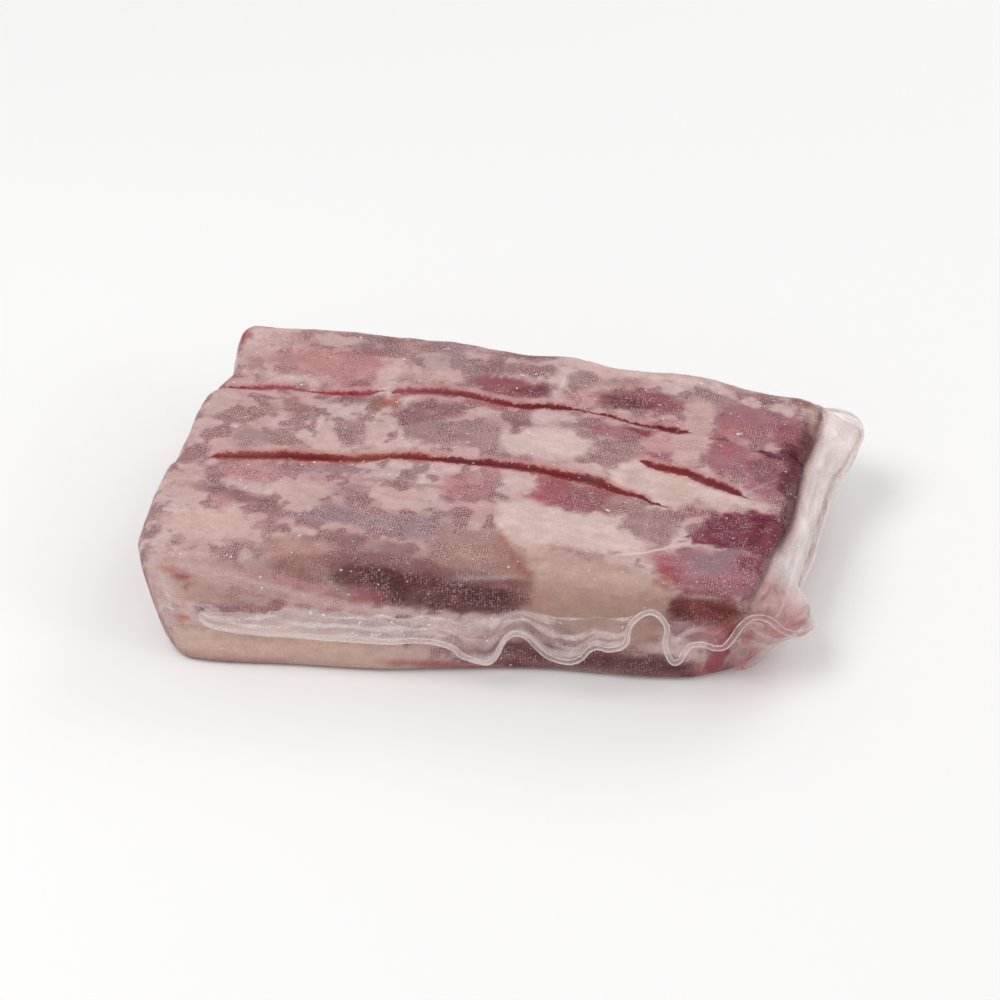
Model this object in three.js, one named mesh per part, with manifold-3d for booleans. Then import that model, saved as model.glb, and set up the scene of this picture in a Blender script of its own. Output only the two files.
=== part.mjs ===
// Frozen raw beef short ribs, sealed in a clear vacuum bag: three long strips of meat lie side by
// side, the bag is drawn tight over them, and its two layers meet in a thin seam that runs round
// the block at half its height. The seam is ruffled along the front and widens into two ears at
// the sealed right end. The sealed bag with its filling is one closed solid.
//
// Millimetres, +Z up. X runs along the strips with the sealed end at +X, Y runs across them, and
// the origin lies under the middle of the pack, on its flat underside.

import * as THREE from 'three';
import { mergeVertices } from 'three/addons/utils/BufferGeometryUtils.js';
import Module from 'manifold-3d';

// The block of meat as a straight block, before it is bent to its true plan
const HALF_LENGTH = 137;
const HALF_WIDTH = 90;
const HEIGHT = 52;
const PLAN_CORNER = {
  left: { foot: 16, top: 8 }, frontRight: { foot: 35, top: 13 }, backRight: { foot: 24, top: 13 },
};
const CORNER_FULL_AT = 0.75 * HEIGHT;
const TOP_ROUNDING = { inward: 7, down: 7 };
const FOOT_ROUNDING = { inward: 4, up: 8 };
const WALL_BULGE = 0.8;
const ROUNDING_STEPS = 3;

// The two ends as [share of the half width, x], from the front of the block to the back
const LEFT_END = [
  [-1, -137.4], [-0.86, -138.2], [-0.66, -139.8], [-0.5, -140.6], [-0.2, -140], [-0.1, -137], [0.1, -135.6],
  [0.34, -136.2], [0.46, -131.8], [0.54, -129.6], [0.7, -131.6], [0.85, -133.2], [1, -133.4],
];
const RIGHT_END = [
  [-1, 119.5], [-0.8, 122], [-0.5, 124], [-0.2, 127], [0, 129], [0.38, 129.5], [0.5, 131], [0.7, 133],
  [1, 134],
];

// How far the foot of the left end lies in from its top, most of all at the front strip
const LEFT_LEAN = 11;
const LEAN_BELOW = 45;
const LEAN_FROM = 60;
const LEAN_AT_BACK = 0.35;
const LEAN_LANES = { from: 0.1, to: 0.9 };

// Plan lines as [x, y]: the front of the block at its top and at its foot, the two seams between
// the strips, and the back
const FRONT_TOP = [[-141, -89.7], [-107, -95.7], [-67, -91.2], [-9, -85.3], [24, -79.8], [66, -79], [124, -74]];
const FRONT_FOOT = [
  [-141, -98.5], [-107, -103.4], [-67, -99.2], [-33, -95.6], [-9, -90.2], [16, -84.4], [33, -81.4],
  [66, -78.8], [92, -76], [124, -71],
];
const FRONT_SEAM = [
  [-138, -30], [-119, -26], [-100, -22.4], [-84, -18.6], [-60, -14], [-42, -9.8], [-30, -9.6], [-8, -9],
  [18, -10.8], [28, -12.4], [40, -12], [47, -13.2], [54, -16.6], [62, -18], [72, -23], [124, -27],
];
const BACK_SEAM = [
  [-135, 23], [-118, 25.4], [-98, 30.4], [-72, 28.8], [-60, 30.5], [-46, 35], [-26, 37.2], [-14, 35.6],
  [-5, 33.8], [6, 34.4], [14, 37.8], [26, 38.9], [40, 36.2], [56, 31], [74, 29.5], [133, 21],
];
const BACK_LINE = [
  [-135, 76], [-122, 77.6], [-90, 77.4], [-61, 78.6], [-15, 77.4], [12, 76.4], [40, 72.6], [67, 74.2],
  [94, 71.8], [112, 70], [135, 66.5],
];

// The same four lines on the straight block, as shares of its half width
const LANES = [-1, -0.16, 0.4, 1];

// How deep the film sinks between the strips, as [x, depth], and how far each crease spreads
const FRONT_SEAM_DEPTH = [[-141, 0.6], [-110, 1.6], [45, 1.6], [62, 1], [84, 0], [124, 0]];
const BACK_SEAM_DEPTH = [[-135, 1.4], [-60, 1.2], [-50, 0.5], [-40, 1.4], [50, 1.1], [84, 0.5], [110, 0], [133, 0]];
const CREASE_SPREAD = 2.2;
const CREASE_AT_ENDS = 0.7;

// A short crack in the middle strip, near its right end
const CRACK_LINE = [[56, 6], [68, 1.8], [80, -1.2], [91, -4.2], [104, -9.5], [118, -15.5]];
const CRACK_DEPTH = [[56, 0], [68, 1.3], [100, 1.3], [118, 0]];

// How far the middle of each strip stands up
const CROWN = 1.2;

// Low swells of the meat under the film: waves with a height and a length along each axis
const SWELLS = [
  { height: 0.7, along: 19, across: 24, up: 40, start: 0.6 },
  { height: 0.5, along: -27, across: 15, up: 30, start: 2 },
  { height: 0.5, along: 9, across: -13, up: 11, start: 0 },
  { height: 0.4, along: 41, across: 60, up: 8, start: 1 },
];
const SWELL_ON_WALLS = 0.5;
const WALLS_BEGIN_AT = 0.85;
const SWELL_CLEAR_OF_FOOT = 8;

// The film leaves the top of the right end and slopes out to the seam, as [z, distance]
const FILM_RAMP = [[0, 1], [10, 3], [26, 6], [38, 3.5], [48, 0]];
const END_BLEND = 12;
const RAMP_BLEND = 20;

// The seam round the block, by distance along it in millimetres from its left front end. Each list
// holds [distance, value]: how far the seam stands out, and how high its root and its edge are.
const SEAM_REACH = [
  [0, -3], [14, 4], [105, 6], [128, 12], [182, 14], [200, 14], [211, 10], [222, 15], [240, 13],
  [252, 9], [266, 15], [276, 16], [290, 12], [304, 5], [322, 4], [350, 5], [370, 6], [386, 6],
  [402, 9], [420, 15], [438, 11], [540, 9], [624, 5], [640, -3],
];
const ROOT_HEIGHT = [[0, 26], [60, 31], [248, 36], [290, 30], [404, 33], [520, 27], [640, 22]];
const EDGE_HEIGHT = [
  [0, 25], [20, 20], [90, 19], [107, 21], [132, 15], [152, 31], [180, 20], [191, 28], [199, 29],
  [211, 45], [222, 23], [231, 32], [241, 29], [251, 43], [264, 27], [280, 23], [298, 26], [345, 27],
  [386, 31], [404, 37], [422, 37], [440, 27], [460, 20], [480, 25], [502, 19], [528, 24], [560, 19],
  [640, 20],
];
const SEAM_THICKNESS = 1;
const BEAD_THICKNESS = 2;
const SEAM_CORNER = 19;
const SEAM_ROOT_INSET = 5;
const SEAM_LENGTH = 640;
const DIRECTION_SPAN = 12;

// The web of film below the front ear: a thin tent from the ear to the foot of the block. Its
// strength and how far out and how high its foot is, by distance along the seam, how high its
// inner edge is, and where its belly is between foot and ear.
const WEB_STRENGTH = [[240, 0], [252, 1], [284, 1], [300, 0]];
const WEB_FOOT_REACH = [[240, -4], [256, -3], [272, -1], [298, -4]];
const WEB_FOOT_HEIGHT = [[240, 3], [254, 4], [272, 9], [298, 8]];
const WEB_INNER_HEIGHT = 10;
const WEB_BELLY = { out: 0.6, up: 0.45 };

// Mesh density
const CELLS_ALONG = 54;
const STRIP_CUTS = [
  [0, 0.06, 0.13, 0.21, 0.3, 0.4, 0.5, 0.6, 0.71, 0.82, 0.91, 0.965],
  [0, 0.05, 0.12, 0.22, 0.32, 0.42, 0.52, 0.62, 0.72, 0.82, 0.9, 0.955],
  [0, 0.05, 0.13, 0.25, 0.4, 0.55, 0.7, 0.82, 0.92],
];
const RUFFLED = { from: 124, to: 306, step: 2.8 };
const PLAIN_STEP = 5.5;
const SEAM_CUTS = [0, 0.35, 0.6, 0.8, 1];
const SLIVER = 0.05;

const clamp = THREE.MathUtils.clamp;
const lerp = THREE.MathUtils.lerp;
const smooth = THREE.MathUtils.smoothstep;

// A smooth function of x through the given [x, value] points: level beyond its ends and at each
// high or low point, so that it never swings past them.
function through(points) {
  const steepness = (i) => (points[i + 1][1] - points[i][1]) / (points[i + 1][0] - points[i][0]);
  const slope = (i) => {
    if (i === 0 || i === points.length - 1) return 0;
    const before = steepness(i - 1);
    const after = steepness(i);
    return before * after > 0 ? (2 * before * after) / (before + after) : 0;
  };
  return (x) => {
    if (x <= points[0][0]) return points[0][1];
    const i = points.findIndex((point) => point[0] > x) - 1;
    if (i < 0) return points[points.length - 1][1];
    const [x0, y0] = points[i];
    const [x1, y1] = points[i + 1];
    const width = x1 - x0;
    const t = (x - x0) / width;
    const left = t * (1 - t) ** 2 * slope(i) * width;
    const right = t * t * (1 - t) * slope(i + 1) * width;
    return y0 + t * t * (3 - 2 * t) * (y1 - y0) + left - right;
  };
}

const [leftEnd, rightEnd] = [LEFT_END, RIGHT_END].map(through);
const [frontTop, frontFoot, frontSeam, backSeam, backLine] = (
  [FRONT_TOP, FRONT_FOOT, FRONT_SEAM, BACK_SEAM, BACK_LINE].map(through)
);
const crackLine = through(CRACK_LINE);
const frontSeamDepth = through(FRONT_SEAM_DEPTH);
const backSeamDepth = through(BACK_SEAM_DEPTH);
const crackDepth = through(CRACK_DEPTH);
const filmRamp = through(FILM_RAMP);
const seamReach = through(SEAM_REACH);
const rootHeight = through(ROOT_HEIGHT);
const edgeHeight = through(EDGE_HEIGHT);
const webStrength = through(WEB_STRENGTH);
const webFootReach = through(WEB_FOOT_REACH);
const webFootHeight = through(WEB_FOOT_HEIGHT);

// The strip that a share of the half width lies in, and how far across that strip it is.
function laneOf(share) {
  const strip = share < LANES[1] ? 0 : share < LANES[2] ? 1 : 2;
  return { strip, across: (share - LANES[strip]) / (LANES[strip + 1] - LANES[strip]) };
}

// How far the left end lies in from its top edge, at a point of the straight block.
function leftLean(along, share, z) {
  const nearLeft = smooth(-along, LEAN_FROM, HALF_LENGTH);
  const nearFront = lerp(LEAN_AT_BACK, 1, smooth(-share, LEAN_LANES.from, LEAN_LANES.to));
  return LEFT_LEAN * nearLeft * nearFront * clamp(1 - z / LEAN_BELOW, 0, 1);
}

// How far the film sinks at a point of the plan, over the seams between strips and the crack.
function creaseDepth(x, y) {
  const near = (line, depth) => depth(x) * Math.exp(-Math.abs(y - line(x)) / CREASE_SPREAD);
  return near(frontSeam, frontSeamDepth) + near(backSeam, backSeamDepth) + near(crackLine, crackDepth);
}

function swell(x, y, z) {
  const waves = SWELLS.map(({ height, along, across, up, start }) => (
    height * Math.sin(x / along + y / across + z / up + start)
  ));
  return waves.reduce((sum, wave) => sum + wave) * Math.min(1, z / SWELL_CLEAR_OF_FOOT);
}

// A point of the straight block, (along, across, z), bent to the true block.
function bend(along, across, z) {
  const share = clamp(across / HALF_WIDTH, -1, 1);
  const toEnd = smooth(Math.abs(along), HALF_LENGTH - END_BLEND, HALF_LENGTH) * Math.sign(along);
  const toSide = smooth(Math.abs(share), WALLS_BEGIN_AT, 1) * Math.sign(share);
  const endToEnd = lerp(leftEnd(share), rightEnd(share), (along / HALF_LENGTH + 1) / 2);
  const x = endToEnd + leftLean(along, share, z);
  const raised = smooth(z, 0, HEIGHT);
  const lines = [lerp(frontFoot(x), frontTop(x), raised), frontSeam(x), backSeam(x), backLine(x)];
  const lane = laneOf(share);
  const y = lerp(lines[lane.strip], lines[lane.strip + 1], lane.across);
  const onTop = smooth(z, HEIGHT / 2, HEIGHT);
  const crease = creaseDepth(x, y);
  const bulge = swell(x, y, z);
  const crown = CROWN * (1 - (2 * lane.across - 1) ** 2);
  const ramp = filmRamp(z) * smooth(along, HALF_LENGTH - RAMP_BLEND, HALF_LENGTH);
  return new THREE.Vector3(
    x + ramp + toEnd * (SWELL_ON_WALLS * bulge - CREASE_AT_ENDS * crease * raised),
    y + toSide * SWELL_ON_WALLS * bulge,
    z + onTop * (crown + bulge - crease),
  );
}

// A point (a, b) of a square with sides from -1 to 1, on the plan of the straight block at a row
// of its wall: a rectangle with round corners, which are rounder at the foot.
function onPlan(a, b, row) {
  const right = b < 0 ? PLAN_CORNER.frontRight : PLAN_CORNER.backRight;
  const { foot, top } = a < 0 ? PLAN_CORNER.left : right;
  const fullCorner = lerp(foot, top, smooth(row.z, 0, CORNER_FULL_AT));
  const corner = Math.max(fullCorner - row.inset, 1);
  const sides = [HALF_LENGTH - row.inset, HALF_WIDTH - row.inset];
  const square = [a * sides[0], b * sides[1]];
  const core = square.map((value, axis) => clamp(value, corner - sides[axis], sides[axis] - corner));
  const [dx, dy] = square.map((value, axis) => value - core[axis]);
  const reach = Math.hypot(dx, dy);
  const shrink = reach > 0 ? Math.max(Math.abs(dx), Math.abs(dy)) / reach : 1;
  return [core[0] + dx * shrink, core[1] + dy * shrink];
}

// The rows up the wall, from the edge of the flat underside to the rim of the top.
function wallRows() {
  const turns = Array.from({ length: ROUNDING_STEPS + 1 }, (_, i) => (i / ROUNDING_STEPS) * Math.PI / 2);
  const foot = turns.map((turn) => ({
    inset: FOOT_ROUNDING.inward * (1 - Math.sin(turn)), z: FOOT_ROUNDING.up * (1 - Math.cos(turn)),
  }));
  const rim = turns.map((turn) => ({
    inset: TOP_ROUNDING.inward * (1 - Math.cos(turn)),
    z: HEIGHT - TOP_ROUNDING.down * (1 - Math.sin(turn)),
  }));
  const waist = { inset: -WALL_BULGE, z: (FOOT_ROUNDING.up + HEIGHT - TOP_ROUNDING.down) / 2 };
  return [...foot, waist, ...rim];
}

// A box cut into cells, with each corner of a cell moved to where a function puts it.
function shapedBox(cells, place) {
  const box = new THREE.BoxGeometry(...cells, ...cells);
  box.deleteAttribute('normal');
  box.deleteAttribute('uv');
  const geometry = mergeVertices(box);
  const corners = geometry.getAttribute('position');
  for (let i = 0; i < corners.count; i += 1) {
    const step = cells.map((count, axis) => Math.round(corners.getComponent(i, axis) + count / 2));
    corners.setXYZ(i, ...place(...step));
  }
  return geometry;
}

// The block of meat under its tight film.
function meatBlock() {
  const across = STRIP_CUTS.flatMap((cuts, strip) => (
    cuts.map((cut) => lerp(LANES[strip], LANES[strip + 1], cut))
  ));
  across.push(1);
  const rows = wallRows();
  return shapedBox([CELLS_ALONG, across.length - 1, rows.length - 1], (i, j, k) => (
    bend(...onPlan((2 * i) / CELLS_ALONG - 1, across[j], rows[k]), rows[k].z)
  ));
}

// A place on the front, right or back wall of the straight block at half its height, by distance
// from the left end of the front.
function straightOutline(distance) {
  const turn = SEAM_CORNER * Math.PI / 2;
  const cornerX = HALF_LENGTH - SEAM_CORNER;
  const cornerY = HALF_WIDTH - SEAM_CORNER;
  const frontEnd = 2 * cornerX;
  const rightEnd = frontEnd + turn + 2 * cornerY;
  const roundCorner = (y, angle) => [
    cornerX + SEAM_CORNER * Math.cos(angle), y + SEAM_CORNER * Math.sin(angle),
  ];
  if (distance < frontEnd) return [distance - cornerX, -HALF_WIDTH];
  if (distance < frontEnd + turn) {
    return roundCorner(-cornerY, (distance - frontEnd - turn) / SEAM_CORNER);
  }
  if (distance < rightEnd) return [HALF_LENGTH, distance - frontEnd - turn - cornerY];
  if (distance < rightEnd + turn) return roundCorner(cornerY, (distance - rightEnd) / SEAM_CORNER);
  return [cornerX - (distance - rightEnd - turn), HALF_WIDTH];
}

// The same place on the true block, and the level direction that points away from the block there.
function onOutline(distance) {
  const at = (d) => bend(...straightOutline(d), HEIGHT / 2);
  const way = at(distance + DIRECTION_SPAN).sub(at(distance - DIRECTION_SPAN));
  return { place: at(distance), outward: new THREE.Vector3(way.y, -way.x, 0).normalize() };
}

// A point of the seam's lower or upper side, at a cut from its root, 0, to its edge, 1, as the
// distance from the wall and the height.
function seamPoint(distance, cut, isUpper) {
  const reach = seamReach(distance);
  const edge = edgeHeight(distance);
  const thickness = lerp(SEAM_THICKNESS, BEAD_THICKNESS, smooth(cut, SEAM_CUTS[3], 1));
  const sheet = {
    out: lerp(-SEAM_ROOT_INSET, reach, cut),
    z: lerp(rootHeight(distance), edge, cut) + (isUpper ? thickness : -thickness) / 2,
  };
  const foot = { out: webFootReach(distance), z: webFootHeight(distance) };
  const web = [
    sheet,
    { out: -SEAM_ROOT_INSET - 1, z: WEB_INNER_HEIGHT },
    foot,
    { out: lerp(foot.out, reach, WEB_BELLY.out), z: lerp(foot.z, edge, WEB_BELLY.up) },
    sheet,
  ][SEAM_CUTS.indexOf(cut)];
  const strength = isUpper ? 0 : webStrength(distance);
  return { out: lerp(sheet.out, web.out, strength), z: lerp(sheet.z, web.z, strength) };
}

// The distances along the seam at which it is cut, closer together where it is ruffled.
function seamDistances() {
  const evenly = (from, to, step) => {
    const count = Math.round((to - from) / step);
    return Array.from({ length: count }, (_, i) => lerp(from, to, i / count));
  };
  return [
    ...evenly(0, RUFFLED.from, PLAIN_STEP),
    ...evenly(RUFFLED.from, RUFFLED.to, RUFFLED.step),
    ...evenly(RUFFLED.to, SEAM_LENGTH, PLAIN_STEP),
    SEAM_LENGTH,
  ];
}

// The seam round the block, from the left of the front, round the sealed end, to the left of the
// back: a long flat box bent round the wall.
function seam() {
  const distances = seamDistances();
  const stations = distances.map(onOutline);
  const lastCut = SEAM_CUTS.length - 1;
  return shapedBox([distances.length - 1, lastCut, 1], (i, j, k) => {
    const { out, z } = seamPoint(distances[i], SEAM_CUTS[lastCut - j], k === 1);
    const { place, outward } = stations[i];
    return place.clone().addScaledVector(outward, out).setZ(z);
  });
}

const wasm = await Module();
wasm.setup();

function solidOf(geometry) {
  return new wasm.Manifold(new wasm.Mesh({
    numProp: 3,
    vertProperties: geometry.getAttribute('position').array,
    triVerts: new Uint32Array(geometry.getIndex().array),
  }));
}

// The pieces joined into one body, with slivers of faces where they meet smoothed away.
function joined(pieces) {
  const mesh = pieces.map(solidOf).reduce((sum, piece) => sum.add(piece)).simplify(SLIVER).getMesh();
  const geometry = new THREE.BufferGeometry();
  geometry.setAttribute('position', new THREE.BufferAttribute(mesh.vertProperties, mesh.numProp));
  geometry.setIndex(new THREE.BufferAttribute(mesh.triVerts, 1));
  geometry.computeVertexNormals();
  return geometry;
}

const filmedMeat = new THREE.MeshStandardMaterial({ color: 0xb48c8c, roughness: 0.42, metalness: 0 });
const sealedPack = new THREE.Mesh(joined([meatBlock(), seam()]), filmedMeat);
sealedPack.name = 'sealed_rib_pack';

const pack = new THREE.Group();
pack.add(sealedPack);
const bounds = new THREE.Box3().setFromObject(sealedPack);
const middle = bounds.getCenter(new THREE.Vector3());
pack.position.set(-middle.x, -middle.y, -bounds.min.z);

export default pack;
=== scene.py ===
"""Frozen raw beef short ribs, sealed in a clear vacuum bag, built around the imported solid.

Three strips of meat lie side by side. A thin embossed film is drawn tight over them, and its two
layers meet in a seam round the block, ruffled along the front and wide at the sealed right end.
Each section makes one piece. Sizes are in millimetres and turned to metres as a mesh is made, and
colours are given as they look on a screen.
"""

import math

import bpy
import numpy as np
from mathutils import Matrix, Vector


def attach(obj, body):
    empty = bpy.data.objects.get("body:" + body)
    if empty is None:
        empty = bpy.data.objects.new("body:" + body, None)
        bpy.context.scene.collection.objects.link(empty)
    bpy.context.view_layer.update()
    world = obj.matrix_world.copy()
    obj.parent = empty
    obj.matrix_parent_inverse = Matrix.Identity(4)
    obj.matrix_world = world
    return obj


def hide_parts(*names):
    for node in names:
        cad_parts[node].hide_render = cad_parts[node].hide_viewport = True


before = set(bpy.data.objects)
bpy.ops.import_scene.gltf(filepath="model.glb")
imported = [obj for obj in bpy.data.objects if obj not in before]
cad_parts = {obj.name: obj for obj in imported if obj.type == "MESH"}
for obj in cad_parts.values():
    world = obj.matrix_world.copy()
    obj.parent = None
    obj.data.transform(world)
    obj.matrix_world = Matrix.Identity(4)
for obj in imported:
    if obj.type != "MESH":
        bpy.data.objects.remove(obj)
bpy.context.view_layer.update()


# The three rib strips: frozen raw beef with its fat, cut across the ribs into long bars and laid
# side by side. The strips touch along two wavy seams, and their faces show lean, fat, blood and
# frost in patches, pressed into fine dots by the embossed film.

HALF_LENGTH = 137
HALF_WIDTH = 90
HEIGHT = 52
FOOT_INSET, FOOT_HEIGHT, FOOT_ARC = 4, 8, 9
RIM_RADIUS, RIM_ARC = 7, 11
WALL_BULGE = 0.8
END_ROUNDING = 12
CROWN = 1.2
# The upright corners' radius at the foot and at the top, and the radius between two strips
LEFT_CORNER, FRONT_CORNER, BACK_CORNER = (16, 8), (35, 13), (24, 13)
STRIP_CORNER = 3

# The block's outline: its ends as [share of the half width, x] and its long lines as [x, y]
LEFT_END = (
    (-1, -137.4), (-0.86, -138.2), (-0.66, -139.8), (-0.5, -140.6), (-0.2, -140), (-0.1, -137),
    (0.1, -135.6), (0.34, -136.2), (0.46, -131.8), (0.54, -129.6), (0.7, -131.6), (0.85, -133.2),
    (1, -133.4),
)
RIGHT_END = (
    (-1, 119.5), (-0.8, 122), (-0.5, 124), (-0.2, 127), (0, 129), (0.38, 129.5), (0.5, 131),
    (0.7, 133), (1, 134),
)
LEFT_LEAN, LEAN_TOP, LEAN_START = 11, 45, 60
LANES = (-1, -0.16, 0.4, 1)
FRONT_TOP = (
    (-141, -89.7), (-107, -95.7), (-67, -91.2), (-9, -85.3), (24, -79.8), (66, -79), (124, -74),
)
FRONT_FOOT = (
    (-141, -98.5), (-107, -103.4), (-67, -99.2), (-33, -95.6), (-9, -90.2), (16, -84.4),
    (33, -81.4), (66, -78.8), (92, -76), (124, -71),
)
FRONT_SEAM = (
    (-138, -30), (-119, -26), (-100, -22.4), (-84, -18.6), (-60, -14), (-42, -9.8), (-30, -9.6),
    (-8, -9), (18, -10.8), (28, -12.4), (40, -12), (47, -13.2), (54, -16.6), (62, -18), (72, -23),
    (124, -27),
)
BACK_SEAM = (
    (-135, 23), (-118, 25.4), (-98, 30.4), (-72, 28.8), (-60, 30.5), (-46, 35), (-26, 37.2),
    (-14, 35.6), (-5, 33.8), (6, 34.4), (14, 37.8), (26, 38.9), (40, 36.2), (56, 31), (74, 29.5),
    (133, 21),
)
BACK_LINE = (
    (-135, 76), (-122, 77.6), (-90, 77.4), (-61, 78.6), (-15, 77.4), (12, 76.4), (40, 72.6),
    (67, 74.2), (94, 71.8), (112, 70), (135, 66.5),
)
CRACK = ((56, 6), (68, 1.8), (80, -1.2), (91, -4.2), (104, -9.5), (118, -15.5))
FRONT_SEAM_DEPTH = ((-141, 0.6), (-110, 1.1), (45, 1.1), (62, 0.7), (84, 0), (124, 0))
BACK_SEAM_DEPTH = (
    (-135, 1), (-60, 0.8), (-50, 0.3), (-40, 0.9), (50, 0.7), (84, 0.3), (110, 0), (133, 0),
)
CRACK_DEPTH = ((56, 0), (68, 0.9), (100, 0.9), (118, 0))
CREASE_SPREAD = 2

# Low swells of the meat, each with its height, its length along each axis and its start
SWELLS = ((0.7, 19, 24, 40, 0.6), (0.5, -27, 15, 30, 2), (0.5, 9, -13, 11, 0), (0.4, 41, 60, 8, 1))
# Small lumps, each kind with its height, size and seed
LUMPS = ((0.7, 9, 3), (0.35, 4, 4))
# Places that stand up on the top: middle, half length and half width, tilt and height
RAISED = (
    ((-57, 33), (9, 3.5), 55, 1.6),
    ((104, -16), (18, 4.5), -14, 1.5),
    ((68, -8), (12, 6), -12, 0.9),
    ((22, 5), (16, 7), 0, 0.6),
    ((-98, 36), (18, 4), 0, 0.7),
    ((40, -50), (30, 8), 0, 0.7),
)
FILM_GAP = 0.35
BLOCK_TO_PACK = (-5.71, 8.73, 0)


def through(points):
    """A smooth function of x through [x, value] points, level at its ends and turning points."""
    x, y = np.array(points, float).T
    steep = np.diff(y) / np.diff(x)
    slope = np.zeros(len(x))
    steady = steep[1:] * steep[:-1] > 0
    mean = 2 * steep[1:] * steep[:-1] / np.where(steady, steep[1:] + steep[:-1], 1)
    slope[1:-1] = np.where(steady, mean, 0)

    def value(at):
        at = np.clip(np.asarray(at, float), x[0], x[-1])
        i = np.clip(np.searchsorted(x, at, side="right") - 1, 0, len(x) - 2)
        width = x[i + 1] - x[i]
        t = (at - x[i]) / width
        ends = t * (1 - t) ** 2 * slope[i] - t * t * (1 - t) * slope[i + 1]
        return y[i] + t * t * (3 - 2 * t) * (y[i + 1] - y[i]) + ends * width

    return value


def smooth(x, low, high):
    """0 below low, 1 above high, and a soft step between them."""
    t = np.clip((x - low) / (high - low), 0, 1)
    return t * t * (3 - 2 * t)


def between(a, b, t):
    return a + (b - a) * t


def grain(points, size, seed):
    """Soft noise from 0 to 1 at points in space, with lumps of about the given size."""
    lattice = np.random.default_rng(seed).random((32, 32, 32))
    place = np.asarray(points, float) / size
    cell = np.floor(place).astype(int)
    share = place - cell
    share = share * share * (3 - 2 * share)
    total = 0
    for corner in np.ndindex(2, 2, 2):
        weight = np.prod(np.where(corner, share, 1 - share), -1)
        i, j, k = np.moveaxis((cell + corner) % 32, -1, 0)
        total = total + weight * lattice[i, j, k]
    return total


left_end, right_end = through(LEFT_END), through(RIGHT_END)
front_top, front_foot = through(FRONT_TOP), through(FRONT_FOOT)
front_seam, back_seam, back_line = through(FRONT_SEAM), through(BACK_SEAM), through(BACK_LINE)
crack = through(CRACK)
creases = (
    (front_seam, through(FRONT_SEAM_DEPTH)),
    (back_seam, through(BACK_SEAM_DEPTH)),
    (crack, through(CRACK_DEPTH)),
)


def patch_reach(u, v, at, half, tilt=0):
    """Distance from a patch's centre, 1 at its edge. The patch is an oval, turned by its tilt."""
    turn = math.radians(tilt)
    du, dv = u - at[0], v - at[1]
    along = du * math.cos(turn) + dv * math.sin(turn)
    across = dv * math.cos(turn) - du * math.sin(turn)
    return np.hypot(along / half[0], across / half[1])


def relief(x, y, z):
    """Small lumps of meat and fat, and the few large ones that stand up on the top."""
    points = np.stack(np.broadcast_arrays(x, y, z), -1)
    lumps = sum(height * (grain(points, size, seed) - 0.5) for height, size, seed in LUMPS)
    for at, half, tilt, height in RAISED:
        lumps = lumps + height * (1 - smooth(patch_reach(x, y, at, half, tilt), 0.2, 1.3))
    return lumps


def bend(along, across, z):
    """A point of the straight block, bent to the true one."""
    share = np.clip(across / HALF_WIDTH, -1, 1)
    to_end = smooth(np.abs(along), HALF_LENGTH - END_ROUNDING, HALF_LENGTH) * np.sign(along)
    to_side = smooth(np.abs(share), 0.85, 1) * np.sign(share)
    x = between(left_end(share), right_end(share), (along / HALF_LENGTH + 1) / 2)
    leaning = smooth(-along, LEAN_START, HALF_LENGTH) * between(0.35, 1, smooth(-share, 0.1, 0.9))
    x = x + LEFT_LEAN * leaning * np.clip(1 - z / LEAN_TOP, 0, 1)
    raised, on_top = smooth(z, 0, HEIGHT), smooth(z, HEIGHT / 2, HEIGHT)
    front = between(front_foot(x), front_top(x), raised)
    lines = [front, front_seam(x), back_seam(x), back_line(x)]
    strip = (share >= LANES[1]).astype(int) + (share >= LANES[2])
    low, high = np.choose(strip, LANES[:3]), np.choose(strip, LANES[1:])
    t = (share - low) / (high - low)
    y = between(np.choose(strip, lines[:3]), np.choose(strip, lines[1:]), t)
    crease = sum(depth(x) * np.exp(-np.abs(y - line(x)) / CREASE_SPREAD) for line, depth in creases)
    swell = sum(h * np.sin(x / a + y / b + z / c + start) for h, a, b, c, start in SWELLS)
    bulge = swell * np.minimum(1, z / 8) + relief(x, y, z) * smooth(z, 2, 10)
    crown = CROWN * (1 - (2 * t - 1) ** 2)
    return np.stack([
        x + to_end * (0.5 * bulge - 0.7 * crease * raised),
        y + to_side * 0.5 * bulge,
        z + on_top * (crown + bulge - crease),
    ], -1)


def box_skin(cells):
    """The corners of a box cut into cells, as whole steps along its axes, and its outward quads."""
    counts = [n + 1 for n in cells]
    corners, quads, start = [], [], 0
    for axis in range(3):
        p, q = [a for a in range(3) if a != axis]
        for side in (0, cells[axis]):
            grid = np.zeros((counts[p], counts[q], 3), int)
            grid[..., axis] = side
            grid[..., p] = np.arange(counts[p])[:, None]
            grid[..., q] = np.arange(counts[q])[None]
            ids = start + np.arange(counts[p] * counts[q]).reshape(counts[p], counts[q])
            loop = [ids[:-1, :-1], ids[1:, :-1], ids[1:, 1:], ids[:-1, 1:]]
            loop = np.stack(loop, -1).reshape(-1, 4)
            outward = (side > 0) == (axis != 1)
            quads.append(loop if outward else loop[:, ::-1])
            corners.append(grid.reshape(-1, 3))
            start += len(corners[-1])
    corners, quads = np.concatenate(corners), np.concatenate(quads)
    steps, index = np.unique(corners, axis=0, return_inverse=True)
    return steps, index.reshape(-1)[quads]


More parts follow.
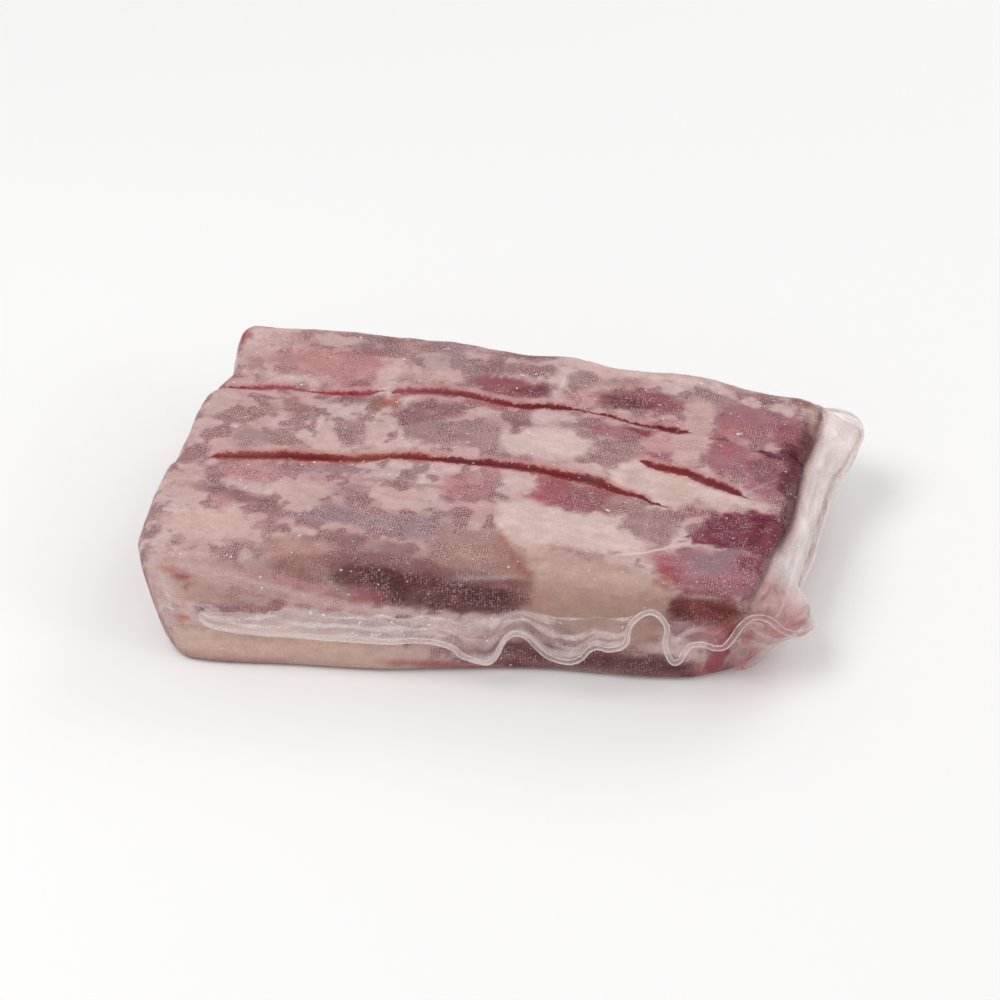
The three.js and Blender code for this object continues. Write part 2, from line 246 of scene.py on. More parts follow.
def wall_rows(step):
    """Inset and height of each row up the wall, from the underside's edge to the top's rim."""
    rim_start = HEIGHT - RIM_RADIUS
    wall = rim_start - FOOT_HEIGHT
    foot = np.linspace(0, math.pi / 2, round(FOOT_ARC / step))
    rim = np.linspace(0, math.pi / 2, round(RIM_ARC / step))
    up = np.linspace(FOOT_HEIGHT, rim_start, round(wall / step) + 1)[1:-1]
    rows = [(FOOT_INSET * (1 - math.sin(t)), FOOT_HEIGHT * (1 - math.cos(t))) for t in foot]
    rows += [(-WALL_BULGE * math.sin(math.pi * (z - FOOT_HEIGHT) / wall), z) for z in up]
    rows += [(RIM_RADIUS * (1 - math.cos(t)), rim_start + RIM_RADIUS * math.sin(t)) for t in rim]
    return np.array(rows).T


def on_block(steps, cells, rows, sides, walls, gap):
    """Where a box's corners lie on the block: points, outward plan direction, height of the row and
    place on the straight block. sides are the front and back of the straight bar, walls says which
    of the two is an outer wall, and gap is left free under the film."""
    inset, height = rows[0][steps[:, 2]] + gap, rows[1][steps[:, 2]]
    height = gap + height * (HEIGHT - 2 * gap) / HEIGHT
    half = HALF_LENGTH - inset
    low, high = sides[0] + inset * walls[0], sides[1] - inset * walls[1]
    cut = steps[:, 1] / cells[1]
    square_x, square_y = (2 * steps[:, 0] / cells[0] - 1) * half, between(low, high, cut)
    at_front, at_left = cut < 0.5, square_x < 0
    foot, top = (
        np.where(at_left, left, np.where(at_front, front, back))
        for left, front, back in zip(LEFT_CORNER, FRONT_CORNER, BACK_CORNER)
    )
    wall_corner = np.maximum(between(foot, top, smooth(height, 0, HEIGHT * 0.75)) - inset, 1)
    corner = np.where(np.where(at_front, *walls), wall_corner, STRIP_CORNER)
    core_x = np.clip(square_x, corner - half, half - corner)
    core_y = np.clip(square_y, low + corner, high - corner)
    dx, dy = square_x - core_x, square_y - core_y
    reach = np.maximum(np.hypot(dx, dy), 1e-9)
    shrink = np.where(reach > 1e-9, np.maximum(np.abs(dx), np.abs(dy)) / reach, 1)
    straight = np.stack([core_x + dx * shrink, core_y + dy * shrink], -1)
    away = np.stack([dx, dy], -1) / reach[:, None]
    return bend(*straight.T, height), away, height, straight


def laid_flat(points, away, height, lean):
    """The block's faces unrolled into one sheet, with the walls folded out from the top.
    lean says how far each millimetre down the front counts along and across the sheet."""
    down = HEIGHT - height
    left, front = np.where(away < 0, away ** 2, 0).T
    right, back = np.where(away > 0, away ** 2, 0).T
    along = points[:, 0] + down * (lean[0] * front + right - left)
    across = points[:, 1] + down * (lean[1] * front + back)
    return np.stack([along, across], -1)


def put_in_scene(name, data):
    thing = bpy.data.objects.new(name, data)
    bpy.context.scene.collection.objects.link(thing)
    return thing


def new_piece(name, points, quads, finish):
    """A smooth shaded mesh object in metres."""
    mesh = bpy.data.meshes.new(name)
    places = (np.asarray(points, float) + BLOCK_TO_PACK) / 1000
    mesh.vertices.add(len(places))
    mesh.vertices.foreach_set("co", places.astype(np.float32).ravel())
    mesh.loops.add(len(quads) * 4)
    mesh.loops.foreach_set("vertex_index", np.asarray(quads, np.int32).ravel())
    mesh.polygons.add(len(quads))
    mesh.polygons.foreach_set("loop_start", np.arange(0, len(quads) * 4, 4, dtype=np.int32))
    mesh.update(calc_edges=True)
    mesh.polygons.foreach_set("use_smooth", np.ones(len(quads), bool))
    mesh.validate()
    mesh.set_sharp_from_angle(angle=math.radians(60))
    mesh.materials.append(finish)
    return put_in_scene(name, mesh)


def write(piece, **values):
    """A number or a colour for each point of a piece, by name."""
    for name, value in values.items():
        kind, field = "FLOAT", "value"
        if value.ndim > 1:
            kind, field = "FLOAT_COLOR", "color"
            value = np.column_stack([value, np.ones(len(value))])
        layer = piece.data.attributes.new(name, kind, "POINT")
        layer.data.foreach_set(field, value.astype(np.float32).ravel())


def write_sheet(piece, flat, quads, name="Sheet"):
    """A UV map that holds each corner's place on the unrolled sheet, in centimetres."""
    layer = piece.data.uv_layers.new(name=name)
    layer.data.foreach_set("uv", (flat[quads.ravel()] / 10).astype(np.float32).ravel())


def light_of(colour):
    """A colour given as it looks on a screen, 0 to 255, as the light it reflects."""
    c = np.array(colour, float) / 255
    return np.where(c <= 0.04045, c / 12.92, ((c + 0.055) / 1.055) ** 2.4)


# Each tissue: its colour, and how far in millimetres it fades into what lies round it
TISSUE = {
    "frost": ((196, 168, 165), 1.6),
    "pale net": ((190, 155, 151), 1.3),
    "grey net": ((150, 117, 116), 2.6),
    "brown net": ((158, 122, 114), 2.6),
    "mauve net": ((148, 94, 104), 2.6),
    "lilac net": ((147, 119, 124), 3.5),
    "rose": ((172, 112, 117), 4),
    "crimson": ((116, 0, 8), 1.2),
    "wine": ((100, 0, 18), 1.2),
    "mauve film": ((142, 110, 118), 2.6),
    "brown film": ((134, 102, 98), 2.6),
    "pink brown": ((168, 126, 118), 4),
    "dark net": ((126, 84, 87), 2.6),
    "film stuck": ((190, 160, 155), 1.1),
    "pink": ((182, 130, 129), 4),
    "lean": ((156, 78, 88), 3.5),
    "deep lean": ((134, 66, 76), 2.6),
    "purple": ((98, 18, 48), 1.6),
    "cherry": ((84, 2, 28), 1.2),
    "plum": ((112, 34, 56), 1.6),
    "maroon": ((80, 12, 28), 2),
    "blood": ((148, 42, 48), 2.6),
    "rust": ((132, 42, 32), 2.6),
    "orange": ((176, 98, 80), 1.4),
    "amber": ((160, 108, 84), 2.6),
    "brown": ((132, 84, 74), 2.6),
    "dark lean": ((70, 22, 22), 2.6),
    "brown red": ((124, 60, 56), 2.6),
    "cream": ((204, 178, 172), 3.4),
    "tan fat": ((172, 138, 128), 5),
    "pink fat": ((199, 165, 159), 4),
    "slab": ((200, 168, 156), 5),
    "slab edge": ((178, 144, 133), 7),
    "brown lean": ((138, 98, 92), 2.6),
}


def tone(tissue):
    return light_of(TISSUE[tissue][0])


FRONT_ON_SHEET = (0.24, -1.26)


def on_front(x, z):
    """The place on the painted sheet of a point of the front wall."""
    wall = float(between(front_foot(x), front_top(x), smooth(z, 0, HEIGHT)))
    return x + FRONT_ON_SHEET[0] * (HEIGHT - z), wall + FRONT_ON_SHEET[1] * (HEIGHT - z)


# Each patch: its tissue, where its middle is, its half length and half width, how clearly the
# film's dots show in it, from 0 to 1, how much it covers what lies under it, and its tilt
PATCHES = (
    # The back strip
    ("cream", (-124, 62), (4, 16), 0.1, 0.8),
    ("blood", (-131, 66), (2.5, 7), 0.3, 0.9),
    ("blood", (-126, 73), (4, 2), 0.4, 0.7, 30),
    ("film stuck", (-125, 50), (4, 9), 0.1, 0.7, 6),
    ("pink", (-122, 38), (2, 8), 0.2, 0.6),
    ("pink fat", (-113, 64), (9, 8), 0.3, 0.8),
    ("brown net", (-104, 64), (7, 5), 1, 0.7),
    ("pale net", (-96, 73), (16, 2.5), 0.3, 0.7, 2),
    ("lilac net", (-70, 68), (10, 7), 0.7, 0.55),
    ("dark net", (-62, 71), (5, 4), 1, 0.8),
    ("brown net", (-54, 64), (8, 9), 1, 0.8),
    ("pink", (-90, 49), (27, 9), 0.5, 0.9),
    ("brown net", (-107, 48), (6, 4), 1, 0.7),
    ("rose", (-67, 50), (7, 5), 0.3, 0.7),
    ("dark net", (-70, 60), (12, 2.5), 1, 0.6, -8),
    ("rose", (-78, 41), (12, 4), 0.7, 0.6),
    ("cream", (-100, 36), (18, 2.8), 0, 0.95),
    ("lean", (-71, 34), (9, 2.6), 0.8, 0.8, 4),
    ("pink fat", (-58, 45), (6, 9), 0.1, 0.95, 8),
    ("brown net", (-51, 50), (1.6, 7), 0.8, 0.8, 8),
    ("pale net", (-36, 46), (13, 4.5), 0.3, 0.9, 4),
    ("lilac net", (-36, 55), (12, 5), 0.5, 0.5),
    ("lilac net", (-32, 67), (14, 8), 0.8, 0.8),
    ("dark net", (-44, 70), (5, 4), 1, 0.6),
    ("film stuck", (-24, 66), (7, 4), 0.1, 0.8),
    ("rust", (-33, 39.6), (7, 1.5), 0.2, 0.7, 3),
    ("dark net", (-6, 60), (17, 5), 1, 0.7),
    ("deep lean", (-4, 45), (18, 7.5), 0.9, 0.95),
    ("maroon", (6, 44), (9, 4), 1, 0.6),
    ("dark net", (2, 71), (14, 4), 1, 0.85),
    ("cream", (18, 66), (3, 8), 0.1, 0.8, 6),
    ("cream", (18.5, 53), (1.4, 9), 0.1, 0.6, 6),
    ("grey net", (26, 56), (6, 7), 1, 0.9),
    ("brown net", (40, 58), (10, 4), 1, 0.8),
    ("pink", (29, 45), (9, 5), 0.7, 0.7),
    ("cream", (56, 67), (36, 5.5), 0.05, 0.95, -2),
    ("pink", (36, 65), (4, 2), 0.1, 0.6),
    ("pink", (62, 69), (8, 2), 0.1, 0.4),
    ("pink", (52, 59), (8, 3), 0.5, 0.6),
    ("deep lean", (56, 47), (20, 7), 1, 0.9, -4),
    ("maroon", (49, 44), (11, 4), 1, 0.75, -6),
    ("grey net", (84, 54), (11, 6), 1, 0.85, -6),
    ("pale net", (81, 42), (7, 12), 0.5, 0.9),
    ("mauve net", (98, 44), (10, 10), 0.8, 0.9),
    ("dark net", (104, 61), (10, 3), 1, 0.85, -16),
    ("mauve net", (116, 42), (14, 8), 0.7, 0.9),
    ("lean", (102, 31), (16, 6), 0.9, 0.5),
    ("lean", (92, 29), (6, 3), 0.6, 0.5),
    ("deep lean", (121, 33), (8, 8), 0.6, 0.85),
    ("maroon", (129, 34), (2.5, 15), 0.4, 0.95),
    ("brown", (128, 58), (11, 3.5), 0.4, 0.9, -24),
    ("brown", (134, 48), (3, 8), 0.2, 0.8),
    # The middle strip
    ("film stuck", (-128, 10), (7, 12), 0.05, 0.9),
    ("pale net", (-112, 22), (14, 3), 0.2, 0.8),
    ("brown net", (-112, 2), (5, 3.5), 1, 0.85),
    ("brown net", (-103, 9), (5, 4), 1, 0.7),
    ("brown net", (-90, 11), (7, 5.5), 1, 0.9),
    ("dark net", (-89, 11), (3, 3), 1, 0.6),
    ("grey net", (-104, -10), (12, 6), 1, 0.8, 10),
    ("pale net", (-84, 20), (8, 4), 0.2, 0.7),
    ("grey net", (-66, 2), (6, 8), 1, 0.9),
    ("dark net", (-70, 23), (10, 3.5), 1, 0.8),
    ("film stuck", (-55, 2), (5, 8), 0.05, 0.85),
    ("brown", (-58.5, 20), (3.5, 2), 0.2, 0.7, 40),
    ("rust", (-54, 25), (2.4, 6), 0.1, 0.6, -24),
    ("orange", (-54, 25), (1.8, 6), 0.1, 0.6, -28),
    ("cream", (-47, 27), (2.5, 6), 0.1, 0.95, -10),
    ("dark net", (-41, 14), (8, 7), 1, 0.85),
    ("grey net", (-27, 6), (16, 9), 1, 0.95),
    ("dark net", (-30, 24), (13, 5), 1, 0.8),
    ("frost", (-14, 24), (6, 4), 0.2, 0.8),
    ("pink fat", (-60, -9), (22, 1.8), 0.1, 0.8, 10),
    ("grey net", (-8, 10), (7, 9), 1, 0.8),
    ("lean", (-10, 32), (13, 3), 0.7, 0.7),
    ("dark net", (4, 21), (6, 4), 1, 0.9),
    ("frost", (18, 29), (10, 5), 0.1, 0.95),
    ("grey net", (27, 24), (7, 4), 1, 0.85),
    ("mauve net", (47, 22), (14, 6), 0.9, 0.9, -6),
    ("deep lean", (36, 27), (7, 4), 1, 0.6),
    ("pink", (44, 34), (18, 2.4), 0.2, 0.85, -8),
    ("crimson", (55, 24.5), (5.5, 1.8), 0.4, 0.9, -25),
    ("blood", (68, 31), (8, 2.6), 0.6, 0.85, -8),
    ("grey net", (50, 10), (12, 6), 1, 0.85, -4),
    ("pink", (67, 17), (7, 8), 0.8, 0.6),
    ("pale net", (81, 15), (7, 12), 0.5, 0.9),
    ("lean", (66, 7), (7, 3), 0.7, 0.6),
    ("mauve net", (98, 12), (11, 12), 0.9, 0.9),
    ("lean", (96, 17), (9, 6), 0.8, 0.6),
    ("mauve net", (116, 2), (12, 17), 1, 0.95),
    ("purple", (116, 6), (8, 9), 1, 0.45),
    ("purple", (116, 20), (8, 1.8), 0.5, 0.95),
    ("maroon", (126, 4), (3, 26), 0.7, 0.97),
    ("pink fat", (116, -18), (8, 4), 0.6, 0.9, -24),
    # The front strip
    ("pale net", (-127, -44), (8, 12), 0.3, 0.8),
    ("pink", (-100, -35), (14, 7), 0.9, 0.9),
    ("lilac net", (-76, -27), (26, 3), 0.5, 0.6, 8),
    ("dark net", (-106, -52), (19, 4.5), 1, 0.85, -12),
    ("pink", (-109, -57), (4, 5), 0.3, 0.8),
    ("lilac net", (-60, -58), (20, 6.5), 1, 0.95),
    ("lilac net", (-26, -58), (18, 7), 1, 0.9),
    ("grey net", (-56, -42), (7, 6), 1, 0.8),
    ("pale net", (-50, -30), (8, 4), 0.2, 0.6),
    ("dark net", (-36, -30.5), (12, 0.9), 0.3, 0.9, 4),
    ("rose", (-9, -27), (12, 8.5), 0.8, 0.75),
    ("deep lean", (-14, -37), (4, 4), 0.8, 0.7),
    ("pink fat", (-110, -74), (21, 11), 0.1, 0.95),
    ("pink brown", (-66, -84), (22, 9), 0.3, 0.85),
    ("dark net", (-50, -73), (11, 5), 0.9, 0.85),
    ("brown film", (-30, -75), (9, 6), 0.1, 0.9),
    ("brown net", (-10, -72), (9, 14), 0.9, 0.8),
    ("pink", (3, -16), (4, 7), 0.8, 0.8),
    ("deep lean", (39, -26), (18, 11), 0.9, 0.85, -8),
    ("lean", (25, -27), (9, 10), 0.8, 0.6),
    ("brown net", (58, -30), (9, 9), 1, 0.85),
    ("grey net", (70, -40), (12, 13), 0.9, 0.85, -20),
    ("pink", (77, -56), (4, 5), 0.2, 0.8),
    ("purple", (90, -56), (5, 6), 1, 0.7),
    ("mauve net", (114, -66), (9, 10), 1, 0.95),
    ("maroon", (122, -40), (6, 16), 0.9, 0.95),
    ("maroon", (113, -56), (9, 1.5), 0.5, 0.85, -4),
    ("lean", (84, -67), (5, 10), 0.4, 0.9, 20),
    ("pink", (103, -74), (16, 3.5), 0.5, 0.8, 2),
    # The front wall and the right end
    ("pink fat", on_front(-118, 40), (22, 20), 0.1, 0.8),
    ("brown net", on_front(-84, 46), (30, 8), 0.4, 0.55, -4),
    ("pink", on_front(-70, 40), (26, 8), 0.3, 0.6, -4),
    ("tan fat", on_front(-96, 36), (22, 8), 0.1, 0.7, -6),
    ("blood", on_front(-116, 41), (4, 3), 0.1, 0.8),
    ("orange", on_front(-124, 42), (5, 2.5), 0.1, 0.7, 10),
    ("blood", on_front(-113, 36), (2, 1.5), 0.1, 0.7),
    ("rust", on_front(-77, 33), (2.2, 3.4), 0.1, 0.5, -30),
    ("orange", on_front(-118, 21), (5, 3), 0, 0.7),
    ("blood", on_front(-101, 31), (10, 0.8), 0, 0.4),
    ("grey net", on_front(-40, 50), (22, 10), 1, 0.7, -8),
    ("brown lean", on_front(-60, 49), (20, 9), 0.6, 0.8),
    ("dark net", on_front(-20, 52), (34, 9), 1, 0.95),
    ("brown lean", on_front(8, 53), (14, 10), 0.6, 0.9),
    ("dark lean", on_front(-8, 42), (34, 11), 1, 0.65, -3),
    ("brown", on_front(-36, 36), (12, 3), 0.4, 0.7),
    ("dark net", on_front(4, 38), (22, 10), 1, 0.7),
    ("brown", on_front(16, 48), (9, 12), 0.3, 0.8, -20),
    ("tan fat", on_front(56, 38), (33, 28), 0.05, 0.95),
    ("cream", on_front(52, 52), (30, 9), 0.02, 0.7),
    ("brown lean", (20, -70), (17, 5), 0.2, 0.9, -50),
    ("amber", on_front(13, 58), (2, 7), 0, 0.8, 36),
    ("amber", on_front(23, 49), (3, 7), 0, 0.8, 30),
    ("brown", on_front(26, 47), (5, 5), 0.1, 0.6),
    ("pink", on_front(36, 40), (6, 4), 0.1, 0.5),
    ("maroon", on_front(89, 41), (4, 7), 0.6, 0.7),
    ("blood", on_front(118, 41), (4, 4), 0.2, 0.8),
    ("brown", on_front(106, 42), (9, 2.5), 0.3, 0.7),
    ("mauve net", on_front(106, 28), (24, 8), 0.4, 0.8),
    ("grey net", on_front(40, 18), (34, 10), 0.7, 0.6),
    ("slab", on_front(-70, 10), (64, 15), 0.02, 1),
    ("blood", on_front(-10, 4), (20, 3), 0.2, 0.8, 2),
    ("dark net", on_front(60, 8), (58, 9), 1, 1),
    ("dark lean", on_front(80, 6), (36, 6), 1, 0.6),
    ("maroon", on_front(36, 3), (26, 3), 0.5, 0.9),
    ("maroon", on_front(64, 10), (52, 8), 0.9, 0.5),
    ("lean", on_front(120, 24), (7, 8), 0.1, 0.9, 20),
    ("blood", on_front(116, 17), (4, 3), 0.1, 0.9, 20),
    ("orange", on_front(108, 14), (7, 3), 0.2, 0.6, 20),
    ("lean", on_front(116, 30), (10, 8), 0.2, 0.7),
    ("maroon", (134, -20), (8, 50), 0.7, 0.85),
    ("maroon", (138, 30), (7, 16), 0.6, 0.85),
    ("brown", (136, 50), (6, 10), 0.3, 0.8),
    ("cream", (132, 52), (3, 7), 0.1, 0.6, 20),
    # The far sides, which the photograph does not show
    ("dark lean", (-70, 108), (44, 12), 0.8, 0.8, 2),
    ("tan fat", (10, 100), (40, 14), 0.1, 0.9, -4),
    ("deep lean", (84, 104), (34, 12), 0.7, 0.8, -3),
    ("cream", (-20, 124), (60, 8), 0.1, 0.8),
    ("blood", (48, 96), (8, 3), 0.3, 0.7, 10),
    ("tan fat", (-166, 20), (16, 40), 0.1, 0.7),
    ("deep lean", (-164, -40), (14, 24), 0.7, 0.8),
    ("dark lean", (-170, 56), (12, 16), 0.6, 0.8),
    ("deep lean", (158, 10), (18, 26), 0.6, 0.8),
    ("tan fat", (160, 46), (16, 14), 0.1, 0.8),
    ("purple", (156, -34), (16, 22), 0.6, 0.8),
)

# Panels, where the film lies on one kind of tissue with a clear edge: the corners of each on the
# sheet in place of a middle, half length, half width and tilt
PANELS = (
    ("film stuck", ((-99, 68), (-98, 61), (-86, 60), (-79, 63), (-77, 69), (-90, 70)), 0, 0.95),
    ("frost", ((96, 57), (104, 50), (108, 54), (104, 61), (97, 61)), 0.1, 0.9),
    ("frost", ((110, 55), (112, 49), (121, 47), (121, 54), (114, 58)), 0.1, 0.9),
    ("film stuck", ((-82, -8), (-79, 4), (-73, 7), (-70, -4), (-72, -10)), 0.05, 0.9),
    ("pale net", ((74, 4), (74, 27), (75, 43), (88, 43), (88, 22), (88, 1)), 0.5, 0.9),
    ("wine", ((88, 26.5), (94, 26), (101, 23), (99, 22), (92, 23.2), (88, 24.6)), 0.3, 0.95),
    ("cherry", ((107, 17), (111, 21.5), (116, 19), (121, 21), (121, 18), (115, 16),
                (110, 18)), 0.4, 0.95),
    ("cherry", ((121, 29), (127, 28), (130, 14), (127, 2), (122, 4), (121, 16)), 0.5, 0.9),
    ("cream", ((8, 18), (15, 21), (28, 20), (38, 12), (38, 2), (20, -2), (0, 0), (0, 10)), 0, 1),
    ("cream", ((46, -5), (56, 2), (74, 1), (86, -5), (89, -14), (84, -25), (74, -23), (62, -15),
               (52, -12)), 0.05, 1),
    ("tan fat", ((73, -8), (82, -9), (84, -22), (74, -21)), 0.1, 0.5),
    ("tan fat", ((58, -5), (61, -5), (61, -12), (58, -12)), 0.1, 0.6),
    ("cream", ((88, -5), (100, -8), (112, -14), (117, -21), (104, -22), (92, -19),
               (86, -12)), 0.05, 1),
    ("film stuck", ((-93, -42), (-88, -37), (-72, -36), (-67, -41), (-66, -50), (-70, -58),
                    (-80, -57), (-86, -50)), 0.02, 0.97),
    ("film stuck", ((-50, -37), (-44, -34), (-22, -33), (-21, -46), (-34, -48),
                    (-46, -45)), 0.05, 0.95),
    ("frost", ((7, -16), (15, -14), (20, -22), (20, -30), (12, -31), (7, -26)), 0.1, 0.95),
    ("cream", ((6, -38), (30, -37), (58, -37), (62, -46), (74, -50), (66, -60), (40, -63),
               (14, -62), (10, -52)), 0.02, 0.97),
    ("plum", ((97, -26), (112, -23), (123, -23), (126, -36), (122, -50), (106, -51), (92, -48),
              (87, -42)), 1, 1),
    ("purple", ((96, -30), (104, -27), (108, -33), (102, -38), (94, -38)), 0.9, 0.7),
    ("purple", ((99, -42), (107, -40), (110, -48), (101, -50)), 0.9, 0.6),
    ("cherry", ((112, -27), (118, -26), (120, -37), (117, -46), (110, -47), (113, -38)), 0.7, 0.8),
    ("brown red", ((92, -79), (106, -78), (124, -83), (130, -98), (110, -101), (91, -98)), 0.8, 1),
    ("mauve net", ((94, -80), (106, -79), (110, -83), (98, -84)), 1, 0.5),
    ("dark lean", ((91, -84), (97, -84), (99, -98), (90, -97)), 0.8, 0.6),
    ("dark lean", ((102, -86), (116, -87), (114, -91), (102, -90)), 0.6, 0.6),
    ("crimson", ((117, -93), (123, -91), (125, -98), (116, -98)), 0.5, 0.8),
    ("slab edge", ((13, -60), (14, -64), (18, -70), (28, -81), (34, -92), (37, -101), (80, -101),
                   (86, -84), (79, -74), (66, -67), (40, -63)), 0.03, 0.75),
    ("dark net", ((-52, -74), (-30, -80), (-10, -79), (20, -80), (30, -84), (32, -100),
                  (-54, -97)), 1, 0.6),
    ("dark lean", ((-52, -91), (-34, -87), (-12, -90), (6, -89), (20, -91), (30, -97), (26, -109),
                   (-20, -112), (-50, -105)), 1, 0.6),
    ("dark lean", ((-42, -90), (-28, -87), (-17, -93), (-20, -101), (-38, -99)), 1, 0.8),
    ("dark lean", ((0, -93), (14, -92), (24, -97), (18, -104), (4, -103)), 1, 0.75),
    ("lean", ((-46, -101), (-30, -101), (-24, -108), (-42, -110)), 0.5, 0.6),
    ("brown red", ((7, -62), (11, -61), (15, -70), (26, -83), (21, -85), (9, -73)), 0.3, 0.6),
    ("rust", ((11, -60), (13.5, -60), (18, -68), (30, -79), (27, -82), (16, -71)), 0.1, 0.65),
    ("mauve net", ((84, -58), (92, -52), (124, -51), (126, -62), (122, -78), (100, -79), (88, -77),
                   (84, -70)), 1, 0.85),
    ("purple", ((113, -54), (123, -52), (124, -60), (116, -61)), 0.8, 0.7),
    ("blood", ((76, -63), (84, -66), (92, -68), (85, -71), (93, -75), (84, -76), (92, -81),
               (79, -79), (83, -73), (79, -70), (81, -67)), 0.3, 0.75),
    ("mauve film", ((94, -54), (108, -52), (111, -58), (108, -66), (97, -67),
                    (92, -60)), 0.25, 0.92),
    ("brown net", ((-13, -56), (11, -56), (13, -62), (18, -70), (24, -78), (10, -83),
                   (-12, -80)), 0.8, 0.75),
    ("pink fat", (on_front(-119, 48), on_front(-92, 44), on_front(-66, 38), on_front(-38, 32),
                  on_front(-46, 29), on_front(-70, 34), on_front(-94, 40),
                  on_front(-118, 44)), 0, 0.6),
)


# Each groove: half the width of the blood in it as [x, millimetres], and the tissues seen in it,
# two towards the left end and two towards the right
GROOVES = (
    (((-124, 0), (-118, 1.8), (-100, 2.6), (-72, 2.5), (-56, 2.4), (-46, 2), (-36, 2.4),
      (-28, 1.7), (-12, 1.6), (-5, 2.3), (20, 2.7), (40, 2.8), (54, 2.4), (62, 1.5), (72, 0.7),
      (84, 0)),
     ("crimson", "rust", "wine", "crimson")),
    (((-130, 0.6), (-118, 1.4), (-110, 1.9), (-100, 1.4), (-93, 0.8), (-87, 0.9), (-77, 1.9),
      (-64, 2.2), (-59, 0.6), (-55, 0.2), (-51, 1.8), (-38, 2.2), (-22, 2), (-6, 1.8), (20, 1.7),
      (27, 0.8), (36, 0.6), (42, 1.2), (56, 1.2), (62, 1), (70, 1.7), (76, 1.2), (80, 0)),
     ("blood", "lean", "crimson", "wine")),
    (((58, 0), (64, 1.8), (73, 2.4), (92, 2.3), (104, 1.8), (112, 0)),
     ("wine", "crimson", "wine", "crimson")),
)
# The blood lies a little nearer the front than the bottom of its groove
BLOOD_ASIDE = 0.7
FAR_FROM_BLOOD = 9.0


def blood_lines(points, spots, height):
    """The blood in the grooves: how far each point lies beside the nearest groove, how far blood
    reaches there, and its colour."""
    x, y = points[:, 0], points[:, 1]
    top = smooth(height, HEIGHT - 14, HEIGHT - 5)
    along = np.stack([x / 14, 0 * x, 0 * x], -1)
    run = smooth(grain(along, 1, 18) + 0.6 * (grain(spots, 2, 19) - 0.5), 0.35, 0.7)[:, None]
    at_right = smooth(x, -60, -10)[:, None]
    beside, reach, colour = np.full(len(x), FAR_FROM_BLOOD), np.zeros(len(x)), np.zeros((len(x), 3))
    for (line, _), (widths, tissues) in zip(creases, GROOVES):
        aside = y - line(x) + BLOOD_ASIDE
        tones = [tone(tissue) for tissue in tissues]
        blood = between(between(*tones[:2], run), between(*tones[2:], run), at_right)
        nearer = np.abs(aside) < np.abs(beside)
        beside = np.where(nearer, aside, beside)
        reach = np.where(nearer, through(widths)(x) * top, reach)
        colour = np.where(nearer[:, None], blood, colour)
    reach = reach * (1 - smooth(np.abs(beside), 5, 7))
    return np.clip(beside, -FAR_FROM_BLOOD, FAR_FROM_BLOOD), reach, colour


def panel_depth(u, v, corners):
    """How far inside a panel a point lies, in millimetres, and below 0 outside it."""
    corners = np.array(corners, float)
    nearest, inside = np.full(len(u), 1e9), np.zeros(len(u), bool)
    for a, b in zip(corners, np.roll(corners, -1, axis=0)):
        way = b - a
        t = np.clip(((u - a[0]) * way[0] + (v - a[1]) * way[1]) / (way @ way), 0, 1)
        nearest = np.minimum(nearest, np.hypot(u - a[0] - t * way[0], v - a[1] - t * way[1]))
        crosses = (a[1] > v) != (b[1] > v)
        inside ^= crosses & (u < a[0] + (v - a[1]) * way[0] / (way[1] if way[1] else 1))
    return np.where(inside, nearest, -nearest)


def paint_meat(sheet, spots, height):
    """The colour of the tissue at each point and how clearly the film's dots show there."""
    def ragged(seed):
        coarse, fine = grain(spots, 12, seed) - 0.5, grain(spots, 4.5, seed + 1) - 0.5
        return 5 * coarse + 4.4 * fine + 3 * (grain(spots, 1.9, seed + 2) - 0.5)

    u, v = sheet[:, 0] + ragged(11), sheet[:, 1] + 0.8 * ragged(31)
    cluster = grain(spots, 6, 15) + 0.5 * (grain(spots, 2.6, 16) - 0.5)
    blotch = smooth(cluster, 0.4, 0.62)[:, None]
    colour = between(tone("frost"), tone("grey net"), blotch)
    warm = smooth(grain(spots, 22, 17), 0.4, 0.75)[:, None]
    colour = between(colour, tone("lean"), 0.3 * warm)
    net = 0.1 + 0.9 * blotch[:, 0]

    def lay(tissue, depth, dots, cover):
        nonlocal colour, net
        shade, fade = TISSUE[tissue]
        mask = cover * smooth(depth, -fade, fade)
        colour = between(colour, light_of(shade), mask[:, None])
        net = between(net, dots * smooth(cluster, 0.25, 0.5), mask)

    for tissue, at, half, dots, cover, *tilt in PATCHES:
        lay(tissue, (1 - patch_reach(u, v, at, half, *tilt)) * min(half), dots, cover)
    for tissue, corners, dots, cover in PANELS:
        lay(tissue, panel_depth(u, v, corners), dots, cover)
    underside = 1 - smooth(height, 1, 9)[:, None]
    floor_tone = between(tone("tan fat"), tone("deep lean"), warm)
    return between(colour, floor_tone, 0.5 * underside), net


def feed(socket, value):
    """Give a node's input another node's output, a number, or a colour of three shares."""
    if isinstance(value, bpy.types.NodeSocket):
        socket.id_data.links.new(value, socket)
    elif socket.type == "RGBA":
        socket.default_value = (*value, 1)
    else:
        socket.default_value = value


def add(tree, kind, *values, **settings):
    """A new node, its inputs fed in order, and then its properties and inputs set by name."""
    node = tree.nodes.new(kind)
    for socket, value in zip(node.inputs, values):
        feed(socket, value)
    for name, value in settings.items():
        if hasattr(node, name):
            setattr(node, name, value)
        else:
            feed(node.inputs[name.replace("_", " ")], value)
    return node


def sums(operation, *values):
    """The result of a Math node on sockets and numbers."""
    tree = next(value.id_data for value in values if isinstance(value, bpy.types.NodeSocket))
    return add(tree, "ShaderNodeMath", *values, operation=operation).outputs[0]


def times(a, b):
    return sums("MULTIPLY", a, b)


def times_plus(a, b, c):
    return sums("MULTIPLY_ADD", a, b, c)


